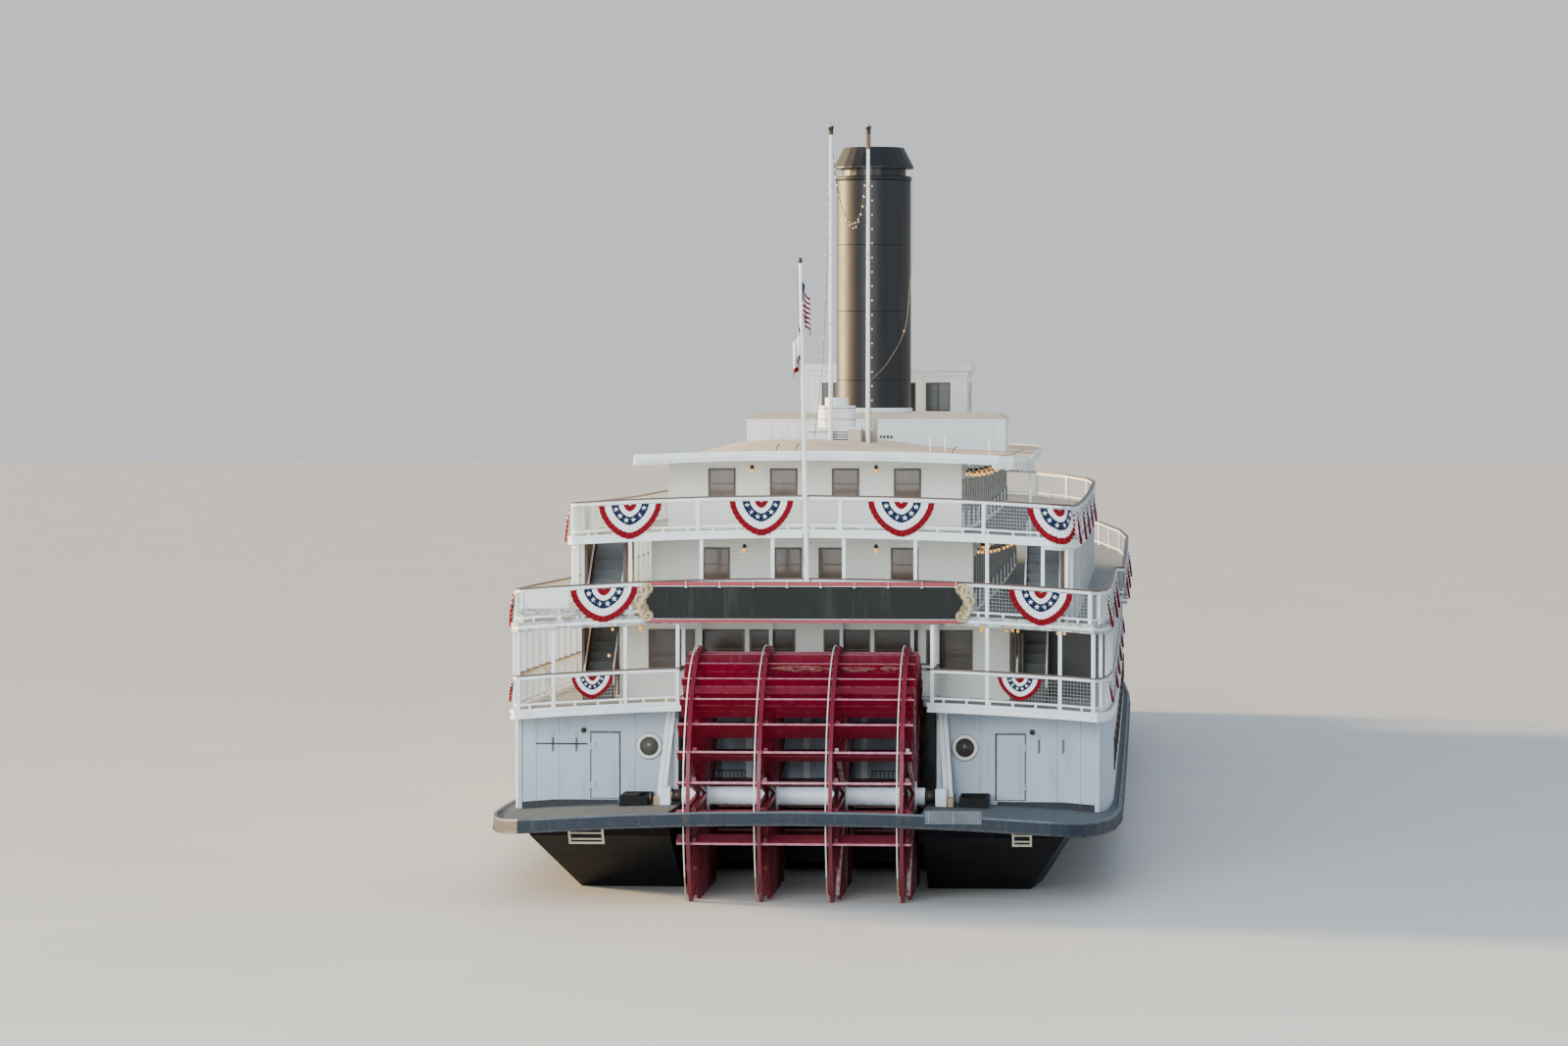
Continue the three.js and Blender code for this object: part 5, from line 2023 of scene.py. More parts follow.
class GuardTrim:
    """Lip, bolts, patch board and rudder hatches of the guard deck."""

    HATCH_INNER = 0.440
    HATCH_OUTER = 0.510
    HATCH_AFT_Y = -3.890
    HATCH_FORE_Y = -3.725

    def build(self) -> None:
        """Builds the trim."""
        draft = Draft()
        band(draft, divided(inset(GUARD_LINE, 0.0055)), 0.0045, GUARD.top - 0.001,
             GUARD.top + 0.0055, "guard_lip")
        band(draft, divided(inset(GUARD_LINE, -0.0006)), 0.0022, GUARD.under + 0.001,
             GUARD.under + 0.0065, "trim_black")
        stern = facing(0, STERN_Y, 0, 0)
        for index in range(12):
            u = -0.66 + index * 0.12
            z = GUARD.top + lift(u, STERN_Y) - 0.016
            draft.lathe([(0.0030, 0.0002), (0.0030, 0.0016), (0.0012, 0.0026), (0.0, 0.0026)],
                        stern.at(u, z), stern.out, "iron_dark", 10)
        draft.slab(stern, (0.361, 0.514), (0.4200, 0.4560), (0.0004, 0.0040), "guard_lip")
        for u in (0.371, 0.437, 0.504):
            draft.slab(stern, (u - 0.0008, u + 0.0008), (0.4210, 0.4550), (0.0038, 0.0052), "seam")
        for side in (-1, 1):
            self._hatch(draft, side)
        draft.build("guard_trim")

    def _hatch(self, draft: Draft, side: int) -> None:
        """The coaming of one rudder hatch, with the shaft's packing beside it.

        Args:
            draft: Takes the faces.
            side: 1 for starboard, -1 for port.
        """
        x0, x1 = sorted((side * self.HATCH_INNER, side * self.HATCH_OUTER))
        y0, y1 = self.HATCH_AFT_Y, self.HATCH_FORE_Y
        low = GUARD.top + lift(self.HATCH_OUTER, y0) + 0.0005
        high, wall = 0.4530, 0.0045
        paint = "black_and_painted_shade"
        draft.box((x0 - wall, y0 - wall, low), (x1 + wall, y0, high), paint)
        draft.box((x0 - wall, y1, low), (x1 + wall, y1 + wall, high), paint)
        draft.box((x0 - wall, y0, low), (x0, y1, high), paint)
        draft.box((x1, y0, low), (x1 + wall, y1, high), paint)
        if side < 0:
            draft.box((x0 + 0.004, y0 + 0.010, low), (x1 - 0.022, y1 - 0.030, high + 0.0025),
                      "black_and_painted_shade")
        draft.box((min(side * 0.402, side * 0.4185), -3.893, 0.4245),
                  (max(side * 0.402, side * 0.4185), -3.842, 0.4520), "packing_tan")
        draft.tube([Vector((side * 0.4250, -3.905, 0.428)), Vector((side * 0.4250, -3.905, 0.468))],
                   0.0022, "iron_dark", 8)


class HullVents:
    """Slatted vents on the hull's raked stern, laid on its surface."""

    VENTS = ((-0.575, 0.049, 0.3540, 0.4000), (0.6175, 0.0270, 0.3540, 0.4000),
             (-0.690, 0.033, 0.3830, 0.4000))
    BORDER = 0.006

    def build(self) -> None:
        """Builds the vents."""
        hull = frame["nodes"]["hull"]
        skin = BVHTree.FromObject(hull, bpy.context.evaluated_depsgraph_get())
        draft = Draft()
        for x, half, low, high in self.VENTS:
            place = self._on_skin(hull, skin, x, (low + high) / 2)
            if place:
                self._vent(draft, place, half, (high - low) / 1.5 / max(0.4, place.up.z))
        draft.build("hull_vents")

    @staticmethod
    def _on_skin(hull: bpy.types.Object, skin: BVHTree, x: float, z: float) -> Place | None:
        """A frame on the hull's aft face, or None where it isn't met.

        Args:
            hull: The hull.
            skin: Its faces, as the ray meets them.
            x: Place across the ship.
            z: Height.

        Returns:
            The frame, or None.
        """
        back = hull.matrix_world.inverted()
        ray = back.to_3x3() @ AHEAD
        at, normal, _, _ = skin.ray_cast(back @ Vector((x, -6, z)), ray)
        if at is None:
            return None
        out = (hull.matrix_world.to_3x3() @ normal).normalized()
        along = UP.cross(out).normalized()
        return Place(hull.matrix_world @ at, along, out, out.cross(along))

    def _vent(self, draft: Draft, place: Place, half: float, rise: float) -> None:
        """One vent: a frame, a dark back that is painted shade for its hollow, and three slats.

        Args:
            draft: Takes the faces.
            place: Frame at its middle.
            half: Half its width.
            rise: Half its height.
        """
        b = self.BORDER
        # The near-black back is painted shade: it stands for the shadowed hollow behind the slats.
        draft.slab(place, (-half + b, half - b), (-rise + b, rise - b), (0.0003, 0.0012),
                   "black_and_painted_shade")
        for u0, u1 in ((-half, -half + b), (half - b, half)):
            draft.slab(place, (u0, u1), (-rise, rise), (0.0003, 0.0050), "vent_cream")
        for v0, v1 in ((-rise, -rise + b), (rise - b, rise)):
            draft.slab(place, (-half + b, half - b), (v0, v1), (0.0003, 0.0050), "vent_cream")
        for index in range(3):
            v = -rise + b + (2 * rise - 2 * b) * (index + 0.5) / 3
            draft.beam(place.at(-half + b, v, 0.0030), place.at(half - b, v, 0.0030), 0.0045,
                       0.0014, "vent_cream", (place.up + place.out).normalized())


class WheelWell:
    """Posts, low rail and opening on the wall ahead of the wheel."""

    WALL_Y = -3.400

    def build(self) -> None:
        """Builds them."""
        draft = Draft()
        wall = facing(0, self.WALL_Y, 0, 0)
        high = SALOON.under + lift(0.2, self.WALL_Y) - 0.001
        low = GUARD.top + lift(0.3, self.WALL_Y) + 0.0005
        for u in (-0.189, -0.0228, 0.1447):
            draft.slab(wall, (u - 0.009, u + 0.009), (low, high), (0.0004, 0.012), "white")
        for u0, u1 in ((-0.300, -0.200), (0.166, 0.296)):
            for v in (0.4500, 0.4900):
                draft.slab(wall, (u0, u1), (v - 0.0014, v + 0.0014), (0.008, 0.011), "iron_dark")
            count = round((u1 - u0) / 0.0115)
            for index in range(count + 1):
                u = u0 + (u1 - u0) * index / count
                draft.slab(wall, (u - 0.0012, u + 0.0012), (low, 0.4900), (0.0085, 0.0105),
                           "iron_dark")
        for u0, u1, pane in ((0.301, 0.346, "pane_green"), (-0.346, -0.301, "pane_green")):
            draft.slab(wall, (u0, u1), (low, 0.6630), (0.0004, 0.0012), pane)
            for a, b in ((u0 - 0.004, u0), (u1, u1 + 0.004)):
                draft.slab(wall, (a, b), (low, 0.6670), (0.0004, 0.0060), "trim_black")
            draft.slab(wall, (u0, u1), (0.6630, 0.6670), (0.0004, 0.0060), "trim_black")
        for index in range(5):
            u = -0.28 + index * 0.14
            draft.slab(wall, (u - 0.0007, u + 0.0007), (0.50, high), (0.0002, 0.0009), "seam")
        draft.build("wheel_well_fittings")


# Fittings of the galleries


class GalleryExtras:
    """Blank plate, folded screens, stair handrails and the awning's post."""

    def build(self) -> None:
        """Builds them."""
        draft = Draft()
        rail = facing(0, EDGE_AFT_Y, 0, 0)
        draft.slab(rail, (-0.788, -0.662), (0.9750, 1.0270), (-0.0040, -0.0018), "plate_white")
        for u in (-0.782, -0.668):
            for v in (0.9800, 1.0220):
                draft.lathe([(0.0014, 0.0), (0.0014, 0.0010), (0.0, 0.0012)],
                            rail.at(u, v, -0.0018), rail.out, "iron_dark", 8)
        for v, height in ((0.9560, 0.0075), (0.9665, 0.0060)):
            draft.slab(rail, (-0.800, -0.478), (v, v + height), (-0.0052, -0.0022), "peeling")
        self._screens(draft)
        self._handrails(draft)
        foot = TEXAS.top + lift(0.620, -3.400)
        draft.tube([Vector((0.620, -3.400, foot)), Vector((0.620, -3.400, 1.3860))], 0.0040,
                   "white", 10)
        draft.build("gallery_fittings")

    @staticmethod
    def _screens(draft: Draft) -> None:
        """Folded louvred screens beside the saloon's starboard corner, and the lobby in painted
        shade.

        Args:
            draft: Takes the faces.
        """
        floor = SALOON.top + lift(0.66, -3.45) + 0.004
        high = OBSERVATION.under + lift(0.66, -3.45) - 0.006
        for index in range(4):
            x = 0.5665 + index * 0.0098
            draft.box((x, -3.478, floor), (x + 0.0074, -3.425, high - 0.012), "screen_brown")
        # Near-black panels across the gallery: painted shade that stands for the dark lobby.
        draft.box((0.675, -3.230, floor), (0.800, -3.222, high), "lobby_painted_shade")
        draft.box((0.5700, -3.230, floor), (0.675, -3.222, high), "lobby_painted_shade")

    @staticmethod
    def _handrails(draft: Draft) -> None:
        """A handrail beside each flight, and boards at the flights' edges.

        Args:
            draft: Takes the faces.
        """
        for x0, x1, y0, y1, z0, z1 in (
            (-0.6640, -0.6560, -3.500, -3.300, 0.706, 0.918),
            (-0.5680, -0.5620, -3.428, -3.250, 0.706, 0.918),
            (-0.6330, -0.6245, -3.700, -3.480, 0.958, 1.152),
            (-0.5235, -0.5150, -3.700, -3.480, 0.958, 1.152),
            (0.7125, 0.7210, -3.700, -3.480, 0.958, 1.152),
        ):
            draft.box((x0, y0, z0), (x1, y1, z1), "stair_side")
        flights = (
            (-0.618, -0.530, 0), (0.618, 0.706, 0), (-0.650, -0.575, 1), (0.590, 0.665, 1),
        )
        for x0, x1, lower in flights:
            start, top, run = (SALOON, -3.240, 0.290) if lower else (OBSERVATION, -3.440, 0.280)
            end = OBSERVATION if lower else TEXAS
            for x in (x0 - 0.0045, x1 + 0.0045):
                low = Vector((x, top - run, start.top + lift(x, top - run) + 0.012))
                high = Vector((x, top, end.top + lift(x, top) - 0.020))
                draft.beam(low, high, 0.0075, 0.034, "stair_side")
                draft.tube([low + Vector((0, 0.02, 0.085)), high + Vector((0, -0.02, 0.060))],
                           0.0024, "white", 8)
                draft.tube([low + Vector((0, 0.02, 0.010)), low + Vector((0, 0.02, 0.086))],
                           0.0024, "white", 8)


class Lights:
    """Wall lamps and strings of bulbs."""

    LAMPS = (
        (-0.501, -3.430, 0.904), (0.482, -3.430, 0.904), (-0.1925, -3.530, 1.132),
        (0.184, -3.530, 1.132), (-0.180, -3.410, 1.356), (0.1775, -3.410, 1.356),
    )
    STRINGS = (
        ("texas_starboard", (0.430, -3.418, 1.358), (0.538, -3.560, 1.374), 8),
        ("observation_starboard", (0.466, -3.538, 1.137), (0.580, -3.500, 1.162), 9),
    )
    LOOSE = (
        (0.556, -3.486, 0.9010), (0.572, -3.486, 0.9020), (0.587, -3.486, 0.9000),
        (0.704, -3.640, 0.9020), (0.713, -3.620, 0.9060), (0.722, -3.600, 0.8990),
        (-0.5698, -3.548, 0.9040), (-0.5800, -3.548, 0.8290), (-0.668, -3.30, 0.8800),
    )

    def build(self) -> None:
        """Builds them."""
        draft = Draft()
        for x, y, z in self.LAMPS:
            self._lamp(draft, facing(x, y, z, 0))
        for x, y, z in self.LOOSE:
            self._bulb(draft, Vector((x, y, z)))
        for side in (-1, 1):
            for half, deck in ((0.423, ROOF), (0.460, TEXAS), (0.562, OBSERVATION)):
                for index in range(9):
                    y = -2.90 + index * 0.48
                    z = deck.under + lift(half, y) - 0.030
                    self._lamp(draft, facing(side * half, y, z, 90 * side))
        draft.build("wall_lamps")
        for name, start, end, count in self.STRINGS:
            self._string(name, Vector(start), Vector(end), count)

    @staticmethod
    def _lamp(draft: Draft, wall: Place) -> None:
        """A lamp with a dark cap and a lit glass.

        Args:
            draft: Takes the faces.
            wall: Frame on the wall.
        """
        draft.slab(wall, (-0.0040, 0.0040), (0.0030, 0.0150), (0.0003, 0.0020), "iron_dark")
        draft.beam(wall.at(0, 0.0100, 0.0015), wall.at(0, 0.0100, 0.0085), 0.0022, 0.0022,
                   "iron_dark")
        centre = wall.at(0, 0, 0.0085)
        draft.lathe([(0.0, 0.0125), (0.0050, 0.0105), (0.0056, 0.0040), (0.0046, 0.0038)], centre,
                    wall.up, "iron_dark", 14)
        draft.lathe([(0.0040, 0.0040), (0.0046, -0.0010), (0.0038, -0.0080), (0.0020, -0.0100),
                     (0.0, -0.0103)], centre, wall.up, "lamp_glow", 14)

    @staticmethod
    def _bulb(draft: Draft, at: Vector) -> None:
        """A bulb hanging from its socket.

        Args:
            draft: Takes the faces.
            at: Where it is.
        """
        draft.lathe([(0.0018, 0.0090), (0.0026, 0.0085), (0.0026, 0.0030), (0.0018, 0.0028)], at,
                    UP, "cable_black", 8)
        draft.lathe([(0.0020, 0.0030), (0.0040, 0.0), (0.0042, -0.0025), (0.0028, -0.0055),
                     (0.0, -0.0062)], at, UP, "bulb_glow", 10)

    def _string(self, name: str, start: Vector, end: Vector, count: int) -> None:
        """A cable that hangs between two points, with bulbs at even spacing.

        Args:
            name: End of the names of its pieces.
            start: One end of the cable.
            end: The other end.
            count: How many bulbs it has.
        """
        sag = 0.010
        points = []
        for step in range(33):
            share = step / 32
            points.append(start.lerp(end, share) - Vector((0, 0, 4 * sag * share * (1 - share))))
        bulbs = Draft()
        for index in range(count):
            at = points[round(1 + 30 * (index + 0.5) / count)]
            self._bulb(bulbs, at - Vector((0, 0, 0.0090)))
        lamps = bulbs.build(f"string_bulbs_{name}")
        lay_cord(f"string_cable_{name}", points, 0.0014, "cable_black", [lamps])


def lay_cord(
    name: str, points: list[Vector], diameter: float, finish: str,
    pieces: list[bpy.types.Object] | None = None,
) -> bpy.types.Object:
    """Args:
        name: Name of the piece.
        points: Its centreline.
        diameter: Its thickness.
        finish: Key of its finish.
        pieces: Separate pieces on it; not used.

    Returns:
        The cord.
    """
    draft = Draft()
    draft.tube(points, diameter / 2, finish, 8)
    piece = draft.build(name, merge=False)
    return piece


def curve_through(knots: list[Point], steps: int = 10) -> list[Vector]:
    """Points of a smooth line through knots.

    Args:
        knots: Points that it passes.
        steps: Points for each stretch.

    Returns:
        The points.
    """
    ends = [Vector(knot) for knot in knots]
    ends = [ends[0] * 2 - ends[1], *ends, ends[-1] * 2 - ends[-2]]
    points = []
    for a, b, c, d in zip(ends, ends[1:], ends[2:], ends[3:]):
        for step in range(steps):
            t = step / steps
            points.append(0.5 * (
                b * 2 + (c - a) * t + (a * 2 - b * 5 + c * 4 - d) * t ** 2
                + (b * 3 - a - c * 3 + d) * t ** 3
            ))
    points.append(ends[-2])
    return points


# Roof


class Roof:
    """Fascia, canvas crown, hooks and valances of the texas roof."""

    CROWN = 0.036
    AFT_Y = -3.440
    FORE_Y = 0.380

    def build(self) -> None:
        """Builds them."""
        draft = Draft()
        band(draft, divided(inset(ROOF_LINE, 0.0002)), 0.0046, ROOF.top - 0.0155,
             ROOF.top + 0.0012, "white")
        band(draft, divided(inset(ROOF_LINE, 0.0060)), 0.0040, ROOF.top - 0.0262,
             ROOF.top - 0.0150, "white")
        for index in range(10):
            u = -0.3865 + index * 0.0931
            z = ROOF.top + lift(u, -3.630) - 0.0262
            hook = facing(u, -3.626, z, 0)
            draft.tube([hook.at(0, 0.002), hook.at(0, -0.004, 0.0005), hook.at(0.002, -0.0065),
                        hook.at(0.0045, -0.0045)], 0.0011, "white", 6)
        draft.build("roof_fascia")
        self._crown()
        rim = RailPath(inset(ROOF_LINE, 0.0005))
        corner = rim.nearest(0.532, -3.632)
        self._valance("starboard", rim, corner - 0.015, corner + 0.42, 0.0235)
        port = rim.nearest(-0.493, -3.632)
        self._valance("port", rim, port - 0.28, port + 0.095, 0.0135)

    def _crown(self) -> None:
        """Tan canvas over the roof, humped along the port side of its middle."""
        profile = ((-0.46, 0.0), (-0.345, 0.02), (-0.300, 0.38), (-0.255, 0.68), (-0.195, 0.90),
                   (-0.12, 1.0), (0.0, 0.95), (0.10, 0.62), (0.20, 0.26), (0.30, 0.08),
                   (0.40, 0.01), (0.50, 0.0))
        rows = []
        for step in range(33):
            y = self.AFT_Y + (self.FORE_Y - self.AFT_Y) * step / 32
            end = math.sin(min(1.0, step / 2, (32 - step) / 3) * math.pi / 2)
            rows.append([
                Vector((x, y, ROOF.top + lift(x, y) + 0.0016 + self.CROWN * share * end))
                for x, share in profile
            ])
        draft = Draft()
        draft.sheet_strip(rows, ["roof_canvas"] * (len(rows) - 1))
        draft.build("roof_cover")

    @staticmethod
    def _valance(name: str, rim: RailPath, start: float, end: float, drop: float) -> None:
        """A scalloped strip of canvas under the roof's edge.

        Args:
            name: End of its name.
            rim: The edge of the roof.
            start: Distance along the rim where it starts.
            end: Distance where it ends.
            drop: Its depth.
        """
        steps = round((end - start) / 0.004)
        rows: list[list[Vector]] = [[], [], []]
        for step in range(steps + 1):
            along = start + (end - start) * step / steps
            at = rim.spot(along)
            wall = rim.frame(along, ROOF.top - 0.0155 + lift(at.x, at.y))
            scallop = abs(math.sin(math.pi * (along - start) / 0.030))
            wave = 0.0012 * math.sin(along * 160)
            for row, share in enumerate((0.0, 0.5, 1.0)):
                fall = drop * (0.78 + 0.22 * scallop) * share
                rows[row].append(wall.at(0, -fall, 0.0062 + wave * share))
        draft = Draft()
        draft.sheet_strip(rows, ["canvas_pale", "canvas_pale"])
        piece = draft.build(f"awning_valance_{name}", merge=False)


class RoofGear:
    """Small things on the roof: fan housing, boxes, bucket and the long box's cover."""

    FAN_Y = -1.700
    BOX_Y = -0.520

    def build(self) -> None:
        """Builds them."""
        draft = Draft()
        fan = facing(0, self.FAN_Y, 0, 0)
        draft.slab(fan, (-0.062, -0.002), (1.4060, 1.4540), (0.0003, 0.0022), "zinc")
        for index in range(6):
            v = 1.4100 + index * 0.0078
            draft.slab(fan, (-0.059, -0.005), (v, v + 0.0042), (0.0020, 0.0042), "iron_dark")
        draft.slab(fan, (-0.0066, 0.0345), (1.4200, 1.4600), (0.0030, 0.0260), "box_beige")
        draft.slab(fan, (-0.139, -0.066), (1.4500, 1.4530), (0.0003, 0.0030), "seam")
        draft.lathe([(0.0205, 1.4180), (0.0205, 1.4880), (0.0170, 1.4940), (0.0, 1.4960)],
                    Vector((0.0645, -1.650, 0)), UP, "box_beige", 24)
        draft.lathe([(0.0115, 1.4180), (0.0140, 1.4560), (0.0150, 1.4570), (0.0130, 1.4575),
                     (0.0110, 1.4250)], Vector((0.0520, -1.718, 0)), UP, "zinc", 20)
        for z in (1.492, 1.528):
            draft.lathe([(0.0608, z - 0.0014), (0.0622, z), (0.0608, z + 0.0014)],
                        Vector((-0.048, -1.630, 0)), UP, "seam", 28)
        box = facing(0, self.BOX_Y, 0, 0)
        draft.slab(box, (0.027, 0.078), (1.4180, 1.4320), (0.0003, 0.0020), "zinc")
        for index in range(4):
            u = 0.030 + index * 0.0122
            draft.slab(box, (u, u + 0.0080), (1.4200, 1.4300), (0.0018, 0.0034), "iron_dark")
        for u0, u1 in ((-0.430, -0.422), (0.457, 0.465)):
            draft.slab(box, (u0, u1), (1.4060, 1.4840), (0.0003, 0.0030), "white")
        draft.slab(box, (-0.432, 0.467), (1.4790, 1.4862), (0.0003, 0.0050), "white")
        for x in (0.335, 0.378, 0.505):
            z = ROOF.top + lift(x, -3.45)
            draft.tube([Vector((x, -3.450, z)), Vector((x, -3.450, z + 0.052))], 0.0022, "white", 8)
        for x in (-0.105, -0.050, 0.400):
            z = ROOF.top + lift(x, -3.50)
            draft.tube([Vector((x, -3.500, z)), Vector((x + 0.003, -3.500, z + 0.012)),
                        Vector((x + 0.011, -3.500, z + 0.022))], 0.0013, "iron_dark", 8)
        self._cover(draft)
        draft.build("roof_gear")

    @staticmethod
    def _cover(draft: Draft) -> None:
        """The long box's tan cover, hipped at its edges.

        Args:
            draft: Takes the faces.
        """
        low, high, slope = 1.4864, 1.5070, 0.027
        x0, x1, y0, y1 = -0.433, 0.468, -0.523, -0.147
        points = [
            Vector((x0, y0, low)), Vector((x1, y0, low)), Vector((x1, y1, low)),
            Vector((x0, y1, low)), Vector((x0 + slope, y0 + slope, high)),
            Vector((x1 - slope, y0 + slope, high)), Vector((x1 - slope, y1 - slope, high)),
            Vector((x0 + slope, y1 - slope, high)),
        ]
        faces = [(4, 5, 6, 7), (0, 1, 5, 4), (1, 2, 6, 5), (2, 3, 7, 6), (3, 0, 4, 7)]
        draft.add(points, turned_out(points, faces), "roof_canvas")


# Stack, masts and pilothouse


class StackTrim:
    """Seams, bands and ring of the stack."""

    Y = -0.350

    def build(self) -> None:
        """Builds the trim."""
        draft = Draft()
        origin = Vector((0, self.Y, 0))
        axis = UP
        low = 1.5250
        for high in (1.62, 1.86, 2.09, 2.3140):
            draft.lathe([(0.1285, low), (0.1299, low + 0.0006), (0.1299, low + 0.0020),
                         (0.1299, high - 0.0026), (0.1299, high - 0.0012),
                         (0.1285, high - 0.0006)], origin, axis, "stack_black", 128)
            low = high
        draft.lathe([(0.128, 2.314), (0.1335, 2.316), (0.1335, 2.326), (0.128, 2.3285)], origin,
                    axis, "stack_black", 128)
        draft.lathe([(0.1290, 1.5045), (0.1345, 1.5050), (0.1350, 1.5230), (0.1330, 1.5245),
                     (0.1290, 1.5250)], origin, axis, "white", 128)
        draft.build("stack_bands")


class Masts:
    """Bulb strings, garlands and slack lines of the two masts."""

    Y = -1.750
    X = 0.060

    def build(self) -> None:
        """Builds them."""
        draft = Draft()
        up = UP
        starboard = Vector((self.X, self.Y, 0))
        port = Vector((-self.X, self.Y, 0))
        draft.lathe([(0.0072, 2.358), (0.0078, 2.362), (0.0074, 2.425), (0.0060, 2.430)],
                    starboard, up, "timber_raw", 14)
        for foot in (port, starboard):
            draft.lathe([(0.0, 2.4180), (0.0088, 2.4205), (0.0096, 2.4305), (0.0060, 2.4385),
                         (0.0, 2.4396)], foot, up, "iron_dark", 14)
            draft.lathe([(0.0070, 2.405), (0.0078, 2.406), (0.0078, 2.4195), (0.0070, 2.4200)],
                        foot, up, "iron_dark", 14)
            for z in (1.58, 1.80, 2.02, 2.24):
                draft.lathe([(0.0071, z - 0.0015), (0.0077, z), (0.0071, z + 0.0015)], foot,
                            up, "zinc", 12)
        wire = [starboard + Vector((0.0105, -0.003, 1.440 + 0.842 * step / 40))
                for step in range(41)]
        draft.tube(wire, 0.0008, "cable_black", 6)
        for index in range(18):
            self._bulb(draft, starboard + Vector((0.0125, -0.004, 1.462 + index * 0.0457)))
        draft.build("mast_fittings")
        self._garlands()
        self._slack_lines()

    @staticmethod
    def _bulb(draft: Draft, at: Vector) -> None:
        """An unlit bulb, made pale against the sky by a faint painted glow."""
        draft.lathe([(0.0, 0.0034), (0.0018, 0.0024), (0.0022, 0.0), (0.0015, -0.0024),
                     (0.0, -0.0028)], at, UP, "bulb_painted_glow", 8)

    def _garlands(self) -> None:
        """Two strings of bulbs that hang between the mastheads."""
        for number, (low_x, low_z, dy) in enumerate(
            ((0.0157, 2.109, -0.009), (0.0115, 2.124, 0.010)),
        ):
            knots = [
                (-0.0520, self.Y + dy * 0.5, 2.341), (-0.0420, self.Y + dy, 2.255),
                (-0.0200, self.Y + dy, 2.160), (low_x, self.Y + dy, low_z),
                (0.0400, self.Y + dy, 2.170), (0.0520, self.Y + dy * 0.5, 2.281),
            ]
            points = curve_through(knots)
            beads = Draft()
            for index in range(2, len(points) - 1, 3):
                self._bulb(beads, points[index] - Vector((0, 0, 0.0045)))
            bulbs = beads.build(f"garland_bulbs_{number + 1}")
            lay_cord(f"garland_{number + 1}", points, 0.0016, "cable_black",
                     pieces=[bulbs])

    def _slack_lines(self) -> None:
        """The string down the port mast, and the slack rope from the stack."""
        knots = [
            (-0.0685, self.Y - 0.002, 2.205), (-0.0690, self.Y - 0.004, 2.080),
            (-0.0740, self.Y - 0.006, 1.920), (-0.0873, self.Y + 0.010, 1.675),
            (-0.1080, self.Y + 0.034, 1.500), (-0.1156, self.Y + 0.0475, 1.440),
        ]
        points = curve_through(knots, 12)
        beads = Draft()
        for index in range(2, len(points) - 1, 3):
            self._bulb(beads, points[index] + Vector((-0.0030, -0.001, 0)))
        bulbs = beads.build("mast_string_bulbs")
        lay_cord("mast_string", points, 0.0016, "cable_black", pieces=[bulbs])
        rope = [
            (0.1390, -0.360, 2.312), (0.1440, -0.500, 2.090), (0.1410, -0.700, 1.915),
            (0.1440, -1.100, 1.783), (0.1070, -1.450, 1.677), (0.0690, self.Y, 1.617),
        ]
        points = curve_through(rope, 12)
        knot = Draft()
        knot.lathe([(0.0, 0.0055), (0.0042, 0.0030), (0.0046, -0.0020), (0.0, -0.0055)],
                   points[36], UP, "rope_tan", 10)
        lay_cord("stack_rope", points, 0.0018, "rope_tan",
                 pieces=[knot.build("stack_rope_knot")])


class FlagDesign(Enum):
    """Patterns of the two flags."""

    STRIPED = "striped"
    BANDED = "banded"


@dataclass(frozen=True)
class Flag:
    """One flag: where its hoist starts, its size, and how far it hangs from the pole."""

    name: str
    top: float
    hoist: float
    fly: float
    reach: float
    side: int
    design: FlagDesign


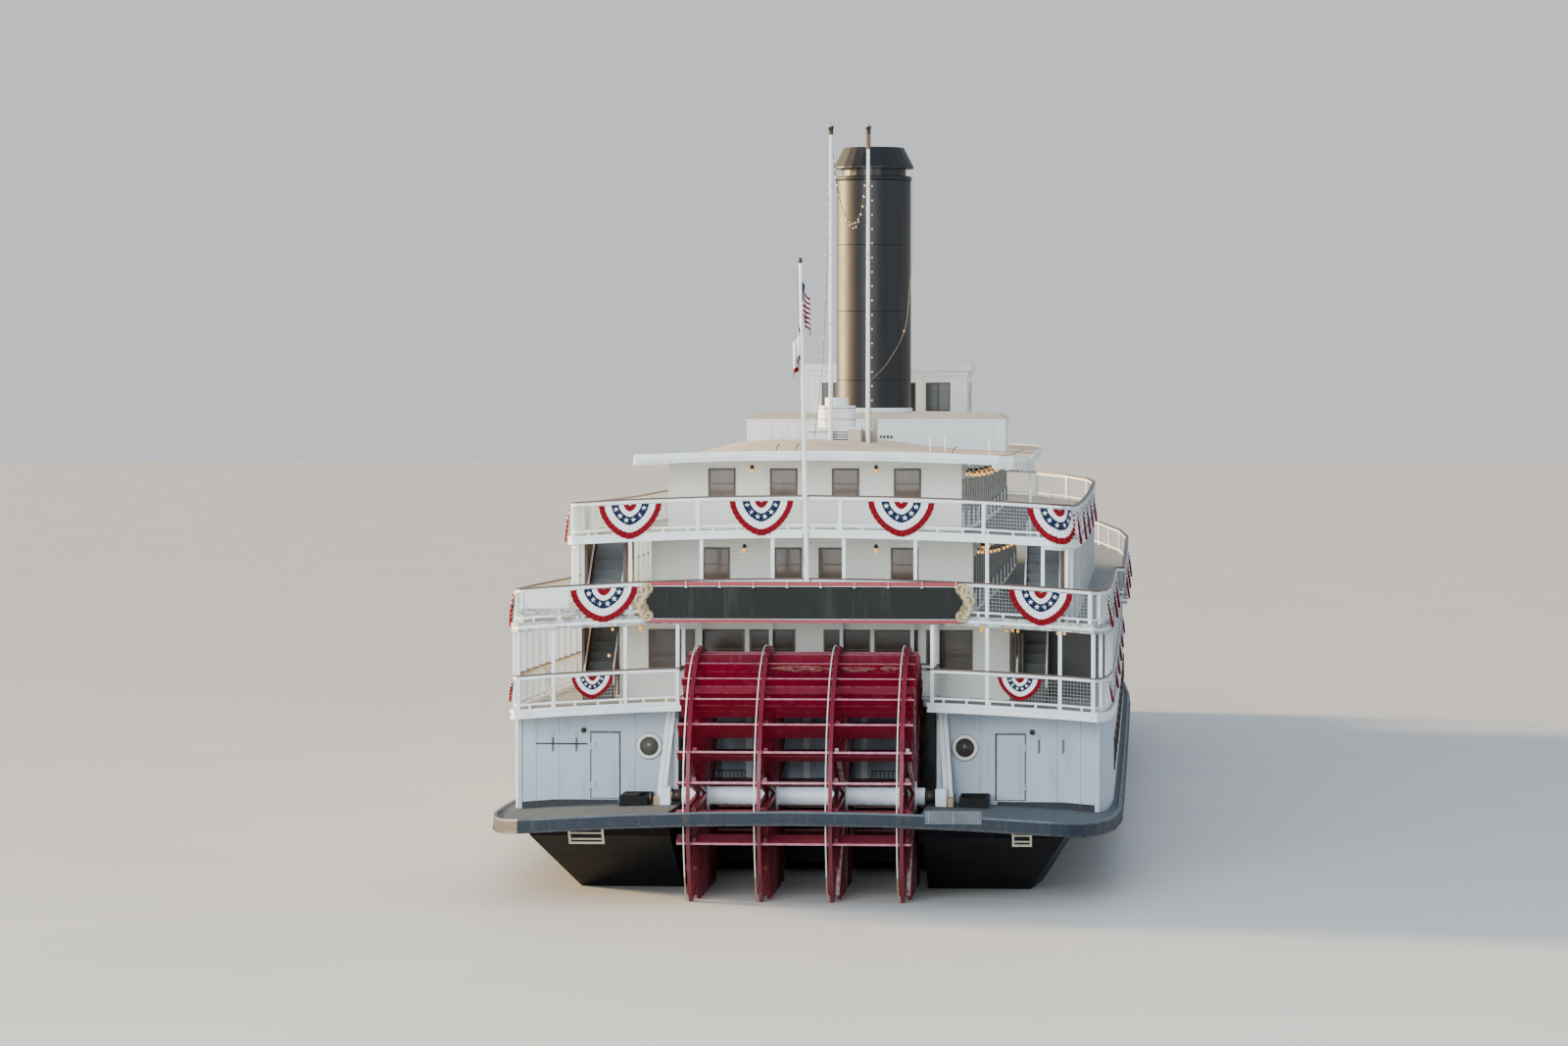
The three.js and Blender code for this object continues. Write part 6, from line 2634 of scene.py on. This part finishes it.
class Flags:
    """Finial of the stern flagpole, and its two furled flags."""

    Y = EDGE_AFT_Y - 0.0085
    FOOT_Z = 1.051
    TOP_Z = 1.940
    FLAGS = (
        Flag("stern_flag_upper", 1.893, 0.096, 0.130, 0.029, 1, FlagDesign.STRIPED),
        Flag("stern_flag_lower", 1.768, 0.094, 0.140, 0.030, -1, FlagDesign.BANDED),
    )
    COLUMNS = 48
    ROWS = 26

    def build(self) -> None:
        """Builds them."""
        draft = Draft()
        draft.lathe([(0.0, 1.9400), (0.0050, 1.9415), (0.0062, 1.9480), (0.0045, 1.9540),
                     (0.0, 1.9560)], Vector((-0.011, self.Y, 0)), UP,
                    "iron_dark", 14)
        halyard = [Vector((self._pole_x(z) - 0.0078, self.Y - 0.003, z))
                   for z in (1.10, 1.30, 1.50, 1.70, 1.925)]
        draft.tube(halyard, 0.0006, "cable_black", 6)
        draft.build("flagpole_fittings")
        for flag in self.FLAGS:
            self._flag(flag)

    def _pole_x(self, z: float) -> float:
        """Place of the leaning pole's axis at a height."""
        return 0.007 - 0.018 * (z - self.FOOT_Z) / (self.TOP_Z - self.FOOT_Z)

    def _point(self, flag: Flag, across: float, down: float) -> Vector:
        """A point of the hanging cloth, across the fly and down the hoist.

        Args:
            flag: The flag.
            across: Share of the fly, from the pole.
            down: Share of the hoist, from the top.

        Returns:
            The point.
        """
        fold = math.sin(across * 7 * math.pi) * min(1.0, across * 5)
        u = 0.0030 + flag.reach * (0.55 * across ** 0.6 + 0.28 * across * math.sin(across * 9))
        u -= 0.006 * math.sin(math.pi * down) * (1 - across)
        n = 0.0095 * fold * (0.75 + 0.25 * math.sin(down * 3))
        z = flag.top - flag.hoist * down - flag.hoist * 0.62 * across ** 1.15
        z -= 0.004 * math.sin(across * 11 + down * 2)
        return Vector((self._pole_x(z) + flag.side * u, self.Y - 0.002 + n, z))

    def _finish(self, flag: Flag, across: float, down: float) -> str:
        """The colour of a place on the cloth.

        Args:
            flag: The flag.
            across: Share of the fly, from the pole.
            down: Share of the hoist, from the top.

        Returns:
            Key of the finish.
        """
        if flag.design is FlagDesign.STRIPED:
            if across < 0.4 and down < 7 / 13:
                return "cloth_blue"
            return "cloth_red" if int(down * 13) % 2 == 0 else "cloth_white"
        if down > 0.83 or (across < 0.12 and down < 0.22):
            return "cloth_red"
        return "cloth_white"

    def _flag(self, flag: Flag) -> None:
        """Builds one flag as a sheet.

        Args:
            flag: The flag.
        """
        draft = Draft()
        points = [
            self._point(flag, column / self.COLUMNS, row / self.ROWS)
            for row in range(self.ROWS + 1) for column in range(self.COLUMNS + 1)
        ]
        width = self.COLUMNS + 1
        cells: dict[str, list[tuple[int, ...]]] = {}
        for row in range(self.ROWS):
            for column in range(self.COLUMNS):
                key = self._finish(flag, (column + 0.5) / self.COLUMNS, (row + 0.5) / self.ROWS)
                first = row * width + column
                cells.setdefault(key, []).append(
                    (first, first + 1, first + width + 1, first + width))
        for key, faces in cells.items():
            draft.add(points, faces, key, smooth=True)
        piece = draft.build(flag.name)
        self._drop_loose(piece.data)
        area = sum(polygon.area for polygon in piece.data.polygons)
        fly = max(flag.fly, area / flag.hoist * 1.02)

    @staticmethod
    def _drop_loose(mesh: bpy.types.Mesh) -> None:
        """Takes out points that no face uses.

        Args:
            mesh: The mesh.
        """
        work = bmesh.new()
        work.from_mesh(mesh)
        bmesh.ops.delete(work, geom=[v for v in work.verts if not v.link_faces], context="VERTS")
        work.to_mesh(mesh)
        work.free()


class Pilothouse:
    """Corner boards, window frames and glass of the pilothouse, and the jackstaff's truck."""

    HALF = 0.297
    AFT_Y = 0.450
    FORE_Y = 0.890
    TOP = 1.655

    def build(self) -> None:
        """Builds frames and panes in the openings."""
        foot = ROOF.top + lift(self.HALF, 0.700)
        low, high = foot + 0.125, foot + 0.230
        draft = Draft()
        for heading, y in ((0, self.AFT_Y), (180, self.FORE_Y)):
            for x in (-0.190, -0.064, 0.064, 0.190):
                self._sash(draft, facing(x, y, 0, heading), 0.045, low, high)
            wall = facing(0, y, 0, heading)
            for u in (-0.2965, 0.2845, -0.133, 0.121, -0.006):
                draft.slab(wall, (u, u + 0.012), (foot + 0.034, self.TOP - 0.002),
                           (0.0003, 0.0040), "white")
            draft.slab(wall, (-0.2965, 0.2965), (low - 0.012, low - 0.004), (0.0003, 0.0060),
                       "white")
            draft.slab(wall, (-0.300, 0.300), (self.TOP - 0.016, self.TOP - 0.001),
                       (0.0003, 0.0075), "white")
        for heading, x in ((90, self.HALF), (-90, -self.HALF)):
            for y in (0.535, 0.755, 0.840):
                self._sash(draft, facing(x, y, 0, heading), 0.035, low, high)
        draft.lathe([(0.0, 1.0985), (0.0075, 1.0990), (0.0090, 1.1050), (0.0050, 1.1110),
                     (0.0, 1.1120)], Vector((0, 4.180, 0)), UP, "brass", 16)
        draft.build("pilothouse_windows")

    @staticmethod
    def _sash(draft: Draft, wall: Place, half: float, low: float, high: float) -> None:
        """One sash with a pane, set into its opening.

        Args:
            draft: Takes the faces.
            wall: Frame on the wall.
            half: Half its width.
            low: Its foot.
            high: Its head.
        """
        bar = 0.005
        for u0, u1 in ((-half, -half + bar), (half - bar, half), (-bar / 2, bar / 2)):
            draft.slab(wall, (u0, u1), (low, high), (-0.010, -0.003), "trim_brown")
        for v0, v1 in ((low, low + bar), (high - bar, high)):
            draft.slab(wall, (-half + bar, half - bar), (v0, v1), (-0.010, -0.003), "trim_brown")
        draft.slab(wall, (-half + bar, half - bar), (low + bar, high - bar), (-0.0075, -0.0060),
                   "pane_green")


# Everything in order


def main() -> None:
    """Builds the scene."""
    logging.basicConfig(level=logging.INFO, format="%(message)s")
    studio = Studio()
    studio.set_camera()
    effects = Effects()
    for finish in FINISHES:
        PAINT_BOX[finish.key] = finish.make(effects)
    studio.build()
    Skins().apply()
    Gallery("saloon", SALOON_LINE, SALOON).build()
    Gallery("observation", OBSERVATION_LINE, OBSERVATION, "peeling").build()
    Gallery("texas", TEXAS_LINE, TEXAS).build()
    Windows().build()
    AftBlocks().build()
    PaddleWheel().build()
    SignBoard().build()
    hang_bunting()
    GuardTrim().build()
    HullVents().build()
    WheelWell().build()
    GalleryExtras().build()
    Lights().build()
    Roof().build()
    RoofGear().build()
    StackTrim().build()
    Masts().build()
    Flags().build()
    Pilothouse().build()


if __name__ == "__main__":
    main()
